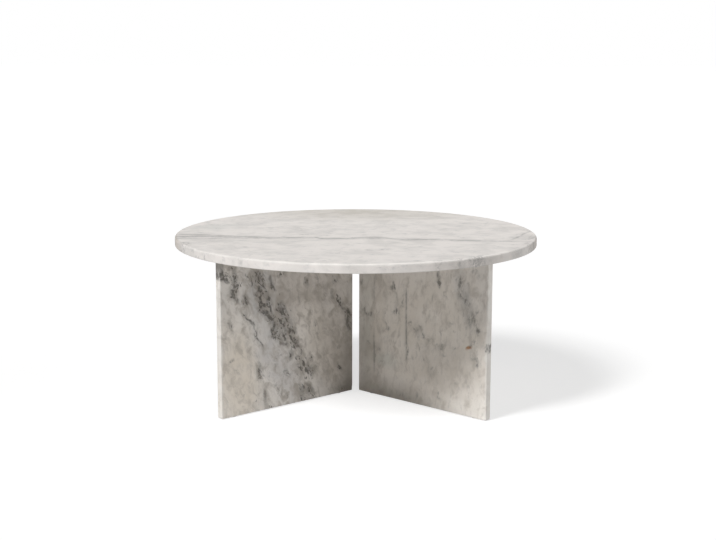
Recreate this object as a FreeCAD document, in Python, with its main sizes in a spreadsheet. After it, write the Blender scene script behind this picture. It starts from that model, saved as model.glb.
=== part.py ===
import FreeCAD, Part
import os

import Sketcher

# Round stone cocktail table: a round slab carried by four upright slabs that stand
# in an X under it. The origin is on the floor under the middle of the top, +Z is up
# and the front bay opens towards -Y.

# Driving sizes, in millimetres and degrees
SIZES = {
    # Round top
    "top_diameter": 1016.0,
    "top_thickness": 25.0,
    "top_upper_ease": 6.0,
    "top_lower_ease": 2.0,
    # Upright panels
    "panel_thickness": 20.0,
    "panel_height": 426.0,
    "panel_ease": 2.5,
    "rim_overhang": 30.5,
    "centre_clearance": 21.0,
    "front_bay_angle": 96.5,
    # Glides under the panels
    "glide_diameter": 14.0,
    "glide_proud": 2.0,
    "glide_edge": 0.7,
    "glide_stem_diameter": 6.0,
    "glide_stem_length": 12.0,
    "glide_end_margin": 45.0,
    # Buffers between the panels and the top
    "buffer_diameter": 12.0,
    "buffer_thickness": 2.0,
    "buffer_edge": 0.4,
    "buffer_end_margin": 60.0,
    # Angle brackets
    "bracket_leg": 40.0,
    "bracket_width": 50.0,
    "bracket_gauge": 4.0,
    "bracket_bend": 3.0,
    "bracket_corner": 6.0,
    "bracket_hole_spacing": 26.0,
    "bracket_hole_setback": 24.0,
    "bracket_end_margin": 115.0,
    # Screws and the threaded inserts that take them
    "screw_diameter": 6.0,
    "screw_length": 14.0,
    "screw_tip": 0.8,
    "screw_head_diameter": 11.0,
    "screw_head_height": 3.4,
    "screw_head_round": 2.4,
    "screw_socket_width": 4.0,
    "screw_socket_depth": 2.2,
    "insert_diameter": 9.0,
    "insert_length": 12.0,
    "insert_groove_width": 2.0,
    "insert_groove_depth": 0.6,
    # Clearances on a diameter or a depth
    "bracket_hole_clearance": 0.6,
    "thread_clearance": 0.1,
    "glue_clearance": 0.2,
    "blind_clearance": 0.5,
}

# Heights and reaches that follow from the driving sizes
PANEL_TOP = "(Sizes.glide_proud + Sizes.panel_height)"
UNDERSIDE = f"({PANEL_TOP} + Sizes.buffer_thickness)"
PANEL_INNER = "Sizes.centre_clearance"
PANEL_OUTER = "(Sizes.top_diameter / 2 - Sizes.rim_overhang)"
HALF_PANEL = "(Sizes.panel_thickness / 2)"
INSERT_HOLE = "(Sizes.insert_diameter + Sizes.glue_clearance)"
INSERT_HOLE_DEPTH = "(Sizes.insert_length + Sizes.blind_clearance)"
STEM_HOLE = "(Sizes.glide_stem_diameter + Sizes.glue_clearance)"
STEM_HOLE_DEPTH = "(Sizes.glide_stem_length + Sizes.blind_clearance)"

# An edge counts as running along a direction where the sine of the angle between them is
# smaller than the first of these, and as being at a place where its middle is no further off
# than the second, as a share of its length
SAME_WAY = 0.5
SAME_PLACE = 0.001

# Heading of each panel about the table's axis, and the side of it that carries the
# brackets: 1 is to the left of the heading and -1 to the right, both towards a side bay
PANELS = {
    "front_left": ("(270 - Sizes.front_bay_angle / 2)", -1),
    "front_right": ("(270 + Sizes.front_bay_angle / 2)", 1),
    "back_left": ("(90 + Sizes.front_bay_angle / 2)", 1),
    "back_right": ("(90 - Sizes.front_bay_angle / 2)", -1),
}

doc = FreeCAD.newDocument("CocktailTable")
sheet = doc.addObject("Spreadsheet::Sheet", "Sizes")
for row, (size_name, size) in enumerate(SIZES.items(), start=1):
    sheet.set(f"A{row}", size_name)
    sheet.set(f"B{row}", str(size))
    sheet.setAlias(f"B{row}", size_name)
doc.recompute()


def value(expression):
    """Number that an expression of the sheet's cells comes to."""
    return float(sheet.evalExpression(expression))


def ends(margin):
    """Reaches of two points on a panel, each a margin in from its inner or outer end."""
    return {
        "inner": f"({PANEL_INNER} + {margin})",
        "outer": f"({PANEL_OUTER} - {margin})",
    }


def plan(heading, reach, aside="0"):
    """Place in plan at a reach along a heading and a distance aside to its left."""
    x = f"(({reach}) * cos({heading}) - ({aside}) * sin({heading}))"
    y = f"(({reach}) * sin({heading}) + ({aside}) * cos({heading}))"
    return x, y


def place(thing, x, y, z, yaw="0", roll="0"):
    """Bind a thing's place to the sheet: turned by roll about X, then by yaw about Z."""
    thing.setExpression("Placement", f"placement(vector({x}; {y}; {z}); rotation({yaw}; 0; {roll}))")


def new_body(label):
    """Body with a label."""
    body = doc.addObject("PartDesign::Body", label)
    body.Label = label
    return body


def new_sketch(body, name, plane, offset=None):
    """Sketch on one of a body's own planes, moved along its normal by an offset."""
    sketch = body.newObject("Sketcher::SketchObject", name)
    support = [item for item in body.Origin.OriginFeatures if item.Role == plane][0]
    sketch.AttachmentSupport = [(support, "")]
    sketch.MapMode = "FlatFace"
    if offset:
        sketch.setExpression("AttachmentOffset.Base.z", offset)
    return sketch


def pin(sketch, geometry, vertex, x, y):
    """Hold a point of a sketch at x and y."""
    for kind, axis, expression in (("DistanceX", -2, x), ("DistanceY", -1, y)):
        if expression == "0":
            sketch.addConstraint(Sketcher.Constraint("PointOnObject", geometry, vertex, axis))
        else:
            distance = Sketcher.Constraint(kind, -1, 1, geometry, vertex, value(expression))
            index = sketch.addConstraint(distance)
            sketch.setExpression(f"Constraints[{index}]", expression)


def add_outline(sketch, points):
    """Closed outline of straight edges through the points."""
    corners = [FreeCAD.Vector(value(x), value(y), 0) for x, y in points]
    count = len(corners)
    for index in range(count):
        sketch.addGeometry(Part.LineSegment(corners[index], corners[(index + 1) % count]))
    for index in range(count):
        sketch.addConstraint(Sketcher.Constraint("Coincident", index, 2, (index + 1) % count, 1))
    for index, (x, y) in enumerate(points):
        pin(sketch, index, 1, x, y)


def add_circle(sketch, x, y, diameter):
    """Circle of a diameter with its centre at x and y."""
    centre = FreeCAD.Vector(value(x), value(y), 0)
    circle = Part.Circle(centre, FreeCAD.Vector(0, 0, 1), value(diameter) / 2)
    geometry = sketch.addGeometry(circle)
    pin(sketch, geometry, 3, x, y)
    index = sketch.addConstraint(Sketcher.Constraint("Diameter", geometry, value(diameter)))
    sketch.setExpression(f"Constraints[{index}]", diameter)


def pad(body, sketch, length):
    """Pad of a sketch along its normal."""
    feature = body.newObject("PartDesign::Pad", "Pad")
    feature.Profile = sketch
    feature.setExpression("Length", length)
    sketch.Visibility = False
    doc.recompute()
    return feature


def turned(body, sketch):
    """Full revolution of a sketch about its vertical axis."""
    feature = body.newObject("PartDesign::Revolution", "Revolution")
    feature.Profile = sketch
    feature.ReferenceAxis = (sketch, ["V_Axis"])
    sketch.Visibility = False
    doc.recompute()
    return feature


def pocket(body, sketch, depth=None, along_normal=False):
    """Pocket of a sketch, through everything where it has no depth, with its cut made sure of."""
    before = body.Tip.Shape.Volume
    feature = body.newObject("PartDesign::Pocket", "Pocket")
    feature.Profile = sketch
    feature.Reversed = along_normal
    if depth:
        feature.setExpression("Length", depth)
    else:
        feature.Type = "ThroughAll"
    sketch.Visibility = False
    doc.recompute()
    if feature.Shape.isNull() or feature.Shape.Volume >= before:
        raise RuntimeError(f"{body.Label}: {sketch.Label} cuts nothing")
    return feature


def fillet(body, radius, chosen):
    """Fillet of the edges of the body's last feature that a test chooses."""
    base = body.Tip
    names = [f"Edge{index}" for index, edge in enumerate(base.Shape.Edges, start=1) if chosen(edge)]
    feature = body.newObject("PartDesign::Fillet", "Fillet")
    feature.Base = (base, names)
    feature.setExpression("Radius", radius)
    doc.recompute()
    return feature


def is_round(edge):
    """True for an edge that follows a circle."""
    return isinstance(edge.Curve, Part.Circle)


def runs_along(edge, direction):
    """True for a straight edge along a direction."""
    return isinstance(edge.Curve, Part.Line) and edge.Curve.Direction.cross(direction).Length < SAME_WAY


def at(edge, **place_of_middle):
    """True where the middle of an edge has the given coordinates."""
    middle = edge.CenterOfMass
    near = edge.Length * SAME_PLACE
    return all(abs(getattr(middle, axis) - there) < near for axis, there in place_of_middle.items())


def bracket_holes(heading, side, aside):
    """Plan places of the four screws that one panel's two brackets have in one of their legs."""
    places = []
    for reach in ends("Sizes.bracket_end_margin").values():
        for step in ("-", "+"):
            hole = f"({reach} {step} Sizes.bracket_hole_spacing / 2)"
            places.append(plan(heading, hole, f"({side} * ({aside}))"))
    return places


def make_tabletop():
    """Round slab, eased more above than below, with blind holes for inserts in its underside."""
    body = new_body("tabletop")
    disc = new_sketch(body, "TopOutline", "XY_Plane")
    add_circle(disc, "0", "0", "Sizes.top_diameter")
    pad(body, disc, "Sizes.top_thickness")
    upper = value("Sizes.top_thickness")
    fillet(body, "Sizes.top_upper_ease", lambda edge: is_round(edge) and at(edge, z=upper))
    fillet(body, "Sizes.top_lower_ease", lambda edge: is_round(edge) and at(edge, z=0))
    holes = new_sketch(body, "TopInsertHoles", "XY_Plane")
    for heading, side in PANELS.values():
        for x, y in bracket_holes(heading, side, f"{HALF_PANEL} + Sizes.bracket_hole_setback"):
            add_circle(holes, x, y, INSERT_HOLE)
    pocket(body, holes, INSERT_HOLE_DEPTH, along_normal=True)
    place(body, "0", "0", UNDERSIDE)
    return body


def make_panel(name, heading, side):
    """Upright slab with eased edges, insert holes in one face and glide holes underneath."""
    body = new_body(f"leg_panel_{name}")
    foot = new_sketch(body, "PanelOutline", "XY_Plane")
    low_side = f"(-{HALF_PANEL})"
    corners = [
        (PANEL_INNER, low_side),
        (PANEL_OUTER, low_side),
        (PANEL_OUTER, HALF_PANEL),
        (PANEL_INNER, HALF_PANEL),
    ]
    add_outline(foot, corners)
    pad(body, foot, "Sizes.panel_height")
    fillet(body, "Sizes.panel_ease", lambda edge: True)

    # The normal of the upright plane points to the right of the heading
    face = new_sketch(body, "PanelInsertHoles", "XZ_Plane", f"({-side} * {HALF_PANEL})")
    screw_height = f"({UNDERSIDE} - Sizes.bracket_hole_setback - Sizes.glide_proud)"
    for reach in ends("Sizes.bracket_end_margin").values():
        for step in ("-", "+"):
            hole = f"({reach} {step} Sizes.bracket_hole_spacing / 2)"
            add_circle(face, hole, screw_height, INSERT_HOLE)
    pocket(body, face, INSERT_HOLE_DEPTH, along_normal=side > 0)

    stems = new_sketch(body, "GlideHoles", "XY_Plane")
    for reach in ends("Sizes.glide_end_margin").values():
        add_circle(stems, reach, "0", STEM_HOLE)
    pocket(body, stems, STEM_HOLE_DEPTH, along_normal=True)
    place(body, "0", "0", "Sizes.glide_proud", heading)
    return body


def make_glide():
    """Turned glide: a flat foot with a broken edge and a stem that goes up into the stone."""
    body = new_body("glide")
    foot = "Sizes.glide_diameter / 2"
    stem = "Sizes.glide_stem_diameter / 2"
    tip = "(Sizes.glide_proud + Sizes.glide_stem_length)"
    profile = new_sketch(body, "GlideProfile", "XZ_Plane")
    points = [
        ("0", "0"),
        (f"({foot} - Sizes.glide_edge)", "0"),
        (foot, "Sizes.glide_edge"),
        (foot, "Sizes.glide_proud"),
        (stem, "Sizes.glide_proud"),
        (stem, f"({tip} - Sizes.glide_edge)"),
        (f"({stem} - Sizes.glide_edge)", tip),
        ("0", tip),
    ]
    add_outline(profile, points)
    turned(body, profile)
    return body


def make_buffer():
    """Turned rubber disc with broken rims."""
    body = new_body("buffer")
    rim = "Sizes.buffer_diameter / 2"
    profile = new_sketch(body, "BufferProfile", "XZ_Plane")
    points = [
        ("0", "0"),
        (f"({rim} - Sizes.buffer_edge)", "0"),
        (rim, "Sizes.buffer_edge"),
        (rim, "(Sizes.buffer_thickness - Sizes.buffer_edge)"),
        (f"({rim} - Sizes.buffer_edge)", "Sizes.buffer_thickness"),
        ("0", "Sizes.buffer_thickness"),
    ]
    add_outline(profile, points)
    turned(body, profile)
    return body


def make_bracket():
    """Bent angle: one leg under the top along +Y, the other down a panel's face along -Z."""
    body = new_body("angle_bracket")
    leg = "Sizes.bracket_leg"
    gauge = "Sizes.bracket_gauge"
    half_width = "(Sizes.bracket_width / 2)"
    section = new_sketch(body, "BracketSection", "YZ_Plane", f"(-{half_width})")
    points = [
        ("0", "0"),
        (leg, "0"),
        (leg, f"(-{gauge})"),
        (gauge, f"(-{gauge})"),
        (gauge, f"(-{leg})"),
        ("0", f"(-{leg})"),
    ]
    add_outline(section, points)
    pad(body, section, "Sizes.bracket_width")

    width_way = FreeCAD.Vector(1, 0, 0)
    thick = value(gauge)
    far = value(leg)
    fillet(body, "Sizes.bracket_bend", lambda edge: runs_along(edge, width_way) and at(edge, y=thick, z=-thick))
    fillet(body, f"(Sizes.bracket_bend + {gauge})", lambda edge: runs_along(edge, width_way) and at(edge, y=0, z=0))
    top_leg_way = FreeCAD.Vector(0, 0, 1)
    panel_leg_way = FreeCAD.Vector(0, 1, 0)
    fillet(
        body,
        "Sizes.bracket_corner",
        lambda edge: (runs_along(edge, top_leg_way) and at(edge, y=far))
        or (runs_along(edge, panel_leg_way) and at(edge, z=-far)),
    )

    hole = "(Sizes.screw_diameter + Sizes.bracket_hole_clearance)"
    steps = ("(-Sizes.bracket_hole_spacing / 2)", "(Sizes.bracket_hole_spacing / 2)")
    top_leg = new_sketch(body, "TopLegHoles", "XY_Plane")
    for step in steps:
        add_circle(top_leg, step, "Sizes.bracket_hole_setback", hole)
    pocket(body, top_leg)
    panel_leg = new_sketch(body, "PanelLegHoles", "XZ_Plane")
    for step in steps:
        add_circle(panel_leg, step, "(-Sizes.bracket_hole_setback)", hole)
    pocket(body, panel_leg)
    return body


def make_screw():
    """Round-headed socket screw: its head below the seat at z zero, its shank up along +Z."""
    body = new_body("screw")
    head = "Sizes.screw_head_diameter / 2"
    shank = "Sizes.screw_diameter / 2"
    profile = new_sketch(body, "ScrewProfile", "XZ_Plane")
    points = [
        ("0", "(-Sizes.screw_head_height)"),
        (head, "(-Sizes.screw_head_height)"),
        (head, "0"),
        (shank, "0"),
        (shank, "(Sizes.screw_length - Sizes.screw_tip)"),
        (f"({shank} - Sizes.screw_tip)", "Sizes.screw_length"),
        ("0", "Sizes.screw_length"),
    ]
    add_outline(profile, points)
    turned(body, profile)
    crown = -value("Sizes.screw_head_height")
    fillet(body, "Sizes.screw_head_round", lambda edge: is_round(edge) and at(edge, z=crown))

    socket = new_sketch(body, "ScrewSocket", "XY_Plane", "(-Sizes.screw_head_height)")
    corner = "(Sizes.screw_socket_width / 2 / cos(30))"
    add_outline(socket, [plan(f"{30 + 60 * turn}", corner) for turn in range(6)])
    pocket(body, socket, "Sizes.screw_socket_depth", along_normal=True)
    return body


def make_insert():
    """Turned threaded insert with a glue groove round its middle, its mouth at z zero."""
    body = new_body("insert")
    bore = "((Sizes.screw_diameter + Sizes.thread_clearance) / 2)"
    wall = "(Sizes.insert_diameter / 2)"
    neck = "(Sizes.insert_diameter / 2 - Sizes.insert_groove_depth)"
    groove_low = "((Sizes.insert_length - Sizes.insert_groove_width) / 2)"
    groove_high = "((Sizes.insert_length + Sizes.insert_groove_width) / 2)"
    profile = new_sketch(body, "InsertProfile", "XZ_Plane")
    points = [
        (bore, "0"),
        (wall, "0"),
        (wall, groove_low),
        (neck, groove_low),
        (neck, groove_high),
        (wall, groove_high),
        (wall, "Sizes.insert_length"),
        (bore, "Sizes.insert_length"),
    ]
    add_outline(profile, points)
    turned(body, profile)
    return body


def new_copy(label, source):
    """Copy of a body that has its own label and place."""
    copy = doc.addObject("App::Link", label)
    copy.Label = label
    copy.LinkedObject = source
    copy.LinkTransform = False
    return copy


def new_group(label, source, places):
    """Group of separate copies of a small body, one at each place."""
    copies = []
    for index, spot in enumerate(places, start=1):
        copy = new_copy(f"{label}_{index}", source)
        place(copy, *spot)
        copies.append(copy)
    group = doc.addObject("Part::Compound", label)
    group.Label = label
    group.Links = copies
    return group


def make_end_pieces(kind, source, margin, height):
    """One copy near each end of each panel, on the panel's middle line at a height."""
    pieces = []
    for name, (heading, _) in PANELS.items():
        for end, reach in ends(margin).items():
            copy = new_copy(f"{kind}_{name}_{end}", source)
            place(copy, *plan(heading, reach), height, heading)
            pieces.append(copy)
    return pieces


def make_brackets(source):
    """Two brackets on the side-bay face of each panel, close under the top."""
    pieces = []
    for name, (heading, side) in PANELS.items():
        yaw = heading if side > 0 else f"({heading} + 180)"
        for end, reach in ends("Sizes.bracket_end_margin").items():
            copy = new_copy(f"angle_bracket_{name}_{end}", source)
            place(copy, *plan(heading, reach, f"({side} * {HALF_PANEL})"), UNDERSIDE, yaw)
            pieces.append(copy)
    return pieces


def upright_places(height):
    """Places of the screws or inserts that point up into the top."""
    places = []
    for heading, side in PANELS.values():
        for x, y in bracket_holes(heading, side, f"{HALF_PANEL} + Sizes.bracket_hole_setback"):
            places.append((x, y, height, heading))
    return places


def sideways_places(stand_off):
    """Places of the screws or inserts that point into the panels, a distance off their faces."""
    places = []
    height = f"({UNDERSIDE} - Sizes.bracket_hole_setback)"
    for heading, side in PANELS.values():
        yaw = heading if side > 0 else f"({heading} + 180)"
        for x, y in bracket_holes(heading, side, f"{HALF_PANEL} + {stand_off}"):
            places.append((x, y, height, yaw, "90"))
    return places


def make_table():
    """Every piece of the table, each one an object with its own label and place."""
    screw = make_screw()
    insert = make_insert()
    pieces = [make_tabletop()]
    pieces += [make_panel(name, heading, side) for name, (heading, side) in PANELS.items()]
    pieces += make_brackets(make_bracket())
    pieces += make_end_pieces("buffer", make_buffer(), "Sizes.buffer_end_margin", PANEL_TOP)
    pieces += make_end_pieces("glide", make_glide(), "Sizes.glide_end_margin", "0")
    under_bracket = f"({UNDERSIDE} - Sizes.bracket_gauge)"
    pieces.append(new_group("top_screws", screw, upright_places(under_bracket)))
    pieces.append(new_group("panel_screws", screw, sideways_places("Sizes.bracket_gauge")))
    pieces.append(new_group("top_inserts", insert, upright_places(UNDERSIDE)))
    pieces.append(new_group("panel_inserts", insert, sideways_places("0")))
    doc.recompute()
    return pieces


def export(pieces):
    """Check every object, then write each piece to its own file."""
    for thing in doc.Objects:
        if "Invalid" in thing.State or "Error" in thing.State:
            raise RuntimeError(f"{thing.Label} did not rebuild: {thing.State}")
    shapes = {piece.Label: Part.getShape(piece) for piece in pieces}
    for label, shape in shapes.items():
        if shape.isNull() or not shape.isValid():
            raise RuntimeError(f"{label} has no valid shape")
    os.makedirs("parts", exist_ok=True)
    for label, shape in shapes.items():
        shape.exportStep(f"parts/{label}.step")
        print(f"{label}: {len(shape.Solids)} solids, {shape.Volume:.1f} mm3")


export(make_table())
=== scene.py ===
"""Dressed model of a round stone cocktail table.

A round slab rests on four upright slabs that stand in an X under it. Steel angles, screws and brass
inserts hold it together out of sight, with rubber buffers above the panels and plastic glides below.
Lengths are in metres, apart from the stone patterns, which are drawn in millimetres on the slabs' faces.
"""

from __future__ import annotations

import logging
import math
from dataclasses import dataclass
from enum import Enum
from typing import Any, Iterable, Iterator, Sequence, Union

import bmesh
import bpy
from mathutils import Matrix, Vector

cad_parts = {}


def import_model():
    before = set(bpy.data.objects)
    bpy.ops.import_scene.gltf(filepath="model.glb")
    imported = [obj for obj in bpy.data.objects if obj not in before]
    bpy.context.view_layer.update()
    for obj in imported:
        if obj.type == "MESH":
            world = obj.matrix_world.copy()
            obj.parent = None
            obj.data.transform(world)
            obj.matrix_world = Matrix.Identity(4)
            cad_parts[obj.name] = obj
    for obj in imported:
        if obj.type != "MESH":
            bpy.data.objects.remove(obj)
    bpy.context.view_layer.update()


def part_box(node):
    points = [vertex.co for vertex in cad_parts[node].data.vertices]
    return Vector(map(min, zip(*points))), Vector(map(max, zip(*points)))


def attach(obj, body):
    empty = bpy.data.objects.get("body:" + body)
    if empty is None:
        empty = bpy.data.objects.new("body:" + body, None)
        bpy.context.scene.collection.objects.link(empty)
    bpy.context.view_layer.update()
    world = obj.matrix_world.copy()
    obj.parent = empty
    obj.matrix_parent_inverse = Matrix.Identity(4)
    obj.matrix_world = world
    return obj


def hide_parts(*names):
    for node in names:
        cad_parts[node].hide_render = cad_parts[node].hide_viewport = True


LOG = logging.getLogger("cocktail_table")
BODY = "root"
MM_PER_M = 1000.0
FULL_TURN = math.tau
QUARTER_TURN = math.pi / 2
WELD_DISTANCE = 1e-6

Colour = tuple[float, float, float, float]
Feed = Union[bpy.types.NodeSocket, float, Sequence[float]]

WHITE: Colour = (1.0, 1.0, 1.0, 1.0)


def grey(level: float) -> Colour:
    """Gives an opaque grey of a level from 0 to 1."""
    return (level, level, level, 1.0)


class Slot(Enum):
    """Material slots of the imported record."""

    TOP_STONE = "top_stone"
    PANEL_STONE = "panel_stone"
    BRACKET_STEEL = "bracket_steel"
    SCREW_STEEL = "screw_steel"


class End(Enum):
    """Ends of an upright panel, near the table's axis or near its rim."""

    INNER = "inner"
    OUTER = "outer"


class Quarter(Enum):
    """Upright panels, named by where they stand under the top."""

    FRONT_LEFT = "front_left"
    FRONT_RIGHT = "front_right"
    BACK_LEFT = "back_left"
    BACK_RIGHT = "back_right"

    @property
    def bracket_side(self) -> int:
        """Gives 1 where the brackets are to the left of the panel's heading and -1 to the right."""
        return 1 if self in (Quarter.FRONT_RIGHT, Quarter.BACK_LEFT) else -1

    @property
    def heading(self) -> float:
        """Gives the panel's heading about the table's axis in radians, as its outer glide has it."""
        low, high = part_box(f"glide_{self.value}_outer")
        middle = (low + high) / 2
        return math.atan2(middle.y, middle.x)

    @property
    def turn(self) -> Matrix:
        """Gives the turn that lays the X axis along the panel's heading."""
        return Matrix.Rotation(self.heading, 4, "Z")


class NodeSheet:
    """The node tree of a material or a surround, with short ways to add nodes and to join them."""

    COLOUR_FACTOR, COLOUR_FIRST, COLOUR_SECOND, COLOUR_RESULT = 0, 6, 7, 2

    def __init__(self, owner: Union[bpy.types.Material, bpy.types.World]) -> None:
        """Empties a tree to draw in.

        Args:
            owner: Material or surround that the tree belongs to.
        """
        owner.use_nodes = True
        self.tree = owner.node_tree
        self.tree.nodes.clear()

    def add(self, kind: str, **settings: Any) -> bpy.types.Node:
        """Adds a node.

        Args:
            kind: Type of the node.
            settings: Properties of the node and their values.

        Returns:
            The new node.
        """
        node = self.tree.nodes.new(kind)
        for key, value in settings.items():
            setattr(node, key, value)
        return node

    def feed(self, socket: bpy.types.NodeSocket, value: Feed) -> None:
        """Joins another socket to an input, or sets the input to a plain value.

        Args:
            socket: Input to feed.
            value: Output to join, or a number or colour.
        """
        if isinstance(value, bpy.types.NodeSocket):
            self.tree.links.new(value, socket)
        else:
            socket.default_value = value

    def coordinates(self) -> bpy.types.NodeSocket:
        """Gives the object's own coordinates."""
        return self.add("ShaderNodeTexCoord").outputs["Object"]

    def lay(
        self,
        vector: Feed,
        move: Sequence[float] = (0.0, 0.0, 0.0),
        turn: Sequence[float] = (0.0, 0.0, 0.0),
        size: Sequence[float] = (1.0, 1.0, 1.0),
        kind: str = "POINT",
    ) -> bpy.types.NodeSocket:
        """Moves, turns and scales coordinates.

        Args:
            vector: Coordinates to change.
            move: Offset.
            turn: Euler angles in radians.
            size: Scale.
            kind: Type of mapping, where TEXTURE brings the given place back to the origin.

        Returns:
            The changed coordinates.
        """
        node = self.add("ShaderNodeMapping", vector_type=kind)
        self.feed(node.inputs["Vector"], vector)
        for key, value in (("Location", move), ("Rotation", turn), ("Scale", size)):
            self.feed(node.inputs[key], value)
        return node.outputs["Vector"]

    def noise(
        self,
        vector: Feed,
        scale: float,
        detail: float = 3.0,
        roughness: float = 0.5,
        distortion: float = 0.0,
    ) -> bpy.types.Node:
        """Adds a noise texture.

        Args:
            vector: Coordinates.
            scale: Size of the noise, in features per unit.
            detail: Number of octaves.
            roughness: Weight of the finer octaves.
            distortion: How far the noise is drawn out of line.

        Returns:
            The noise node, with its outputs Fac and Color.
        """
        node = self.add("ShaderNodeTexNoise")
        settings = {"Scale": scale, "Detail": detail, "Roughness": roughness, "Distortion": distortion}
        self.feed(node.inputs["Vector"], vector)
        for key, value in settings.items():
            self.feed(node.inputs[key], value)
        return node

    def math(self, operation: str, *values: Feed, clamp: bool = False) -> bpy.types.NodeSocket:
        """Works out a number from other numbers.

        Args:
            operation: Operation of the node.
            values: Its inputs in order.
            clamp: Whether the result stays between 0 and 1.

        Returns:
            The result.
        """
        node = self.add("ShaderNodeMath", operation=operation, use_clamp=clamp)
        for socket, value in zip(node.inputs, values):
            self.feed(socket, value)
        return node.outputs[0]

    def vector(self, operation: str, *values: Feed, output: str = "Vector") -> bpy.types.NodeSocket:
        """Works out a vector, or a length, from other vectors.

        Args:
            operation: Operation of the node.
            values: Its inputs in order.
            output: Name of the output to give.

        Returns:
            The result.
        """
        node = self.add("ShaderNodeVectorMath", operation=operation)
        for socket, value in zip(node.inputs, values):
            self.feed(socket, value)
        return node.outputs[output]

    def span(
        self,
        value: Feed,
        low: float,
        high: float,
        start: float = 0.0,
        end: float = 1.0,
        smooth: bool = True,
    ) -> bpy.types.NodeSocket:
        """Maps one range of a number to another and holds it there.

        Args:
            value: Number to map.
            low: Number that becomes start.
            high: Number that becomes end.
            start: Result at low.
            end: Result at high.
            smooth: Whether the result eases in and out.

        Returns:
            The mapped number.
        """
        node = self.add("ShaderNodeMapRange", interpolation_type="SMOOTHSTEP" if smooth else "LINEAR")
        node.clamp = True
        limits = {"Value": value, "From Min": low, "From Max": high, "To Min": start, "To Max": end}
        for key, limit in limits.items():
            self.feed(node.inputs[key], limit)
        return node.outputs["Result"]

    def mix(self, factor: Feed, first: Feed, second: Feed, blend: str = "MIX") -> bpy.types.NodeSocket:
        """Mixes two colours.

        Args:
            factor: Share of the second colour.
            first: First colour.
            second: Second colour.
            blend: Way of mixing.

        Returns:
            The mixed colour.
        """
        node = self.add("ShaderNodeMix", data_type="RGBA", blend_type=blend)
        self.feed(node.inputs[self.COLOUR_FACTOR], factor)
        self.feed(node.inputs[self.COLOUR_FIRST], first)
        self.feed(node.inputs[self.COLOUR_SECOND], second)
        return node.outputs[self.COLOUR_RESULT]

    def share(self, part: float, first: Feed, second: Feed) -> bpy.types.NodeSocket:
        """Adds up a part of one number and the rest of another."""
        return self.math("MULTIPLY_ADD", first, part, self.math("MULTIPLY", second, 1.0 - part))

    def largest(self, values: Iterable[bpy.types.NodeSocket]) -> Feed:
        """Gives the largest of some numbers, or 0 where there are none."""
        best: Feed = 0.0
        for index, value in enumerate(values):
            best = self.math("MAXIMUM", best, value) if index else value
        return best

    def bump(self, height: Feed, strength: float, distance: float) -> bpy.types.NodeSocket:
        """Turns a height into a normal.

        Args:
            height: Height over the surface.
            strength: Share of the bump that shows.
            distance: Depth of the bump in metres.

        Returns:
            The normal.
        """
        node = self.add("ShaderNodeBump")
        for key, value in (("Height", height), ("Strength", strength), ("Distance", distance)):
            self.feed(node.inputs[key], value)
        return node.outputs["Normal"]

    def end(self, shader: bpy.types.NodeSocket, kind: str = "ShaderNodeOutputMaterial") -> None:
        """Ends the tree in an output.

        Args:
            shader: What the output shows.
            kind: Type of the output.
        """
        self.feed(self.add(kind).inputs["Surface"], shader)

    def surface(self, **inputs: Feed) -> None:
        """Ends the tree in a Principled shader.

        Args:
            inputs: The shader's inputs, with an underscore for each space in a name.
        """
        shader = self.add("ShaderNodeBsdfPrincipled")
        for key, value in inputs.items():
            self.feed(shader.inputs[key.replace("_", " ")], value)
        self.end(shader.outputs["BSDF"])


@dataclass(frozen=True)
class Oval:
    """A soft oval on a slab's face, in millimetres.

    Attributes:
        along: Place of its middle along the face.
        up: Place of its middle up the face.
        length: Half its length.
        width: Half its width.
        tilt: Turn of its length from along towards up, in degrees.
        strength: How strongly it shows at its middle.
    """

    along: float
    up: float
    length: float
    width: float
    tilt: float = 0.0
    strength: float = 1.0

    # Share of the way in from its edge at which an oval reaches its strength, and its size through a slab
    CORE, DEPTH = 0.75, 1000.0

    def near(self, sheet: NodeSheet, point: Feed, spread: float = 1.0) -> bpy.types.NodeSocket:
        """Tells how near a place is to the oval's middle.

        Args:
            sheet: Node tree to draw in.
            point: Coordinates on the slab.
            spread: How many times its size the oval reaches.

        Returns:
            A number that falls evenly from 1 at the oval's middle to 0 at its edge.
        """
        local = sheet.lay(
            point,
            move=(self.along, self.up, 0.0),
            turn=(0.0, 0.0, math.radians(self.tilt)),
            size=(self.length * spread, self.width * spread, self.DEPTH),
            kind="TEXTURE",
        )
        cone = sheet.add("ShaderNodeTexGradient", gradient_type="SPHERICAL")
        sheet.feed(cone.inputs["Vector"], local)
        return cone.outputs["Fac"]

    def draw(self, sheet: NodeSheet, point: Feed) -> bpy.types.NodeSocket:
        """Draws the oval.

        Args:
            sheet: Node tree to draw in.
            point: Coordinates on the slab.

        Returns:
            A number that eases from the oval's strength round its middle to 0 at its edge.
        """
        return sheet.span(self.near(sheet, point), 0.0, self.CORE, 0.0, self.strength)

    @classmethod
    def heap(cls, sheet: NodeSheet, ovals: Sequence[Oval], point: Feed, spread: float = 1.0) -> Feed:
        """Adds up many ovals.

        Args:
            sheet: Node tree to draw in.
            ovals: Ovals to draw.
            point: Coordinates on the slab.
            spread: How many times its size each oval reaches.

        Returns:
            The sum of their strengths.
        """
        total: Feed = 0.0
        for oval in ovals:
            total = sheet.math("MULTIPLY_ADD", oval.near(sheet, point, spread), oval.strength, total)
        return total


def ovals(*rows: tuple[float, float, float, float, float, float]) -> tuple[Oval, ...]:
    """Makes ovals of rows that give along, up, length, width, tilt and strength."""
    return tuple(Oval(*row) for row in rows)


class Run(Enum):
    """Direction in which a vein never turns back, by its place in a point."""

    ALONG = 0
    UP = 1


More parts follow.
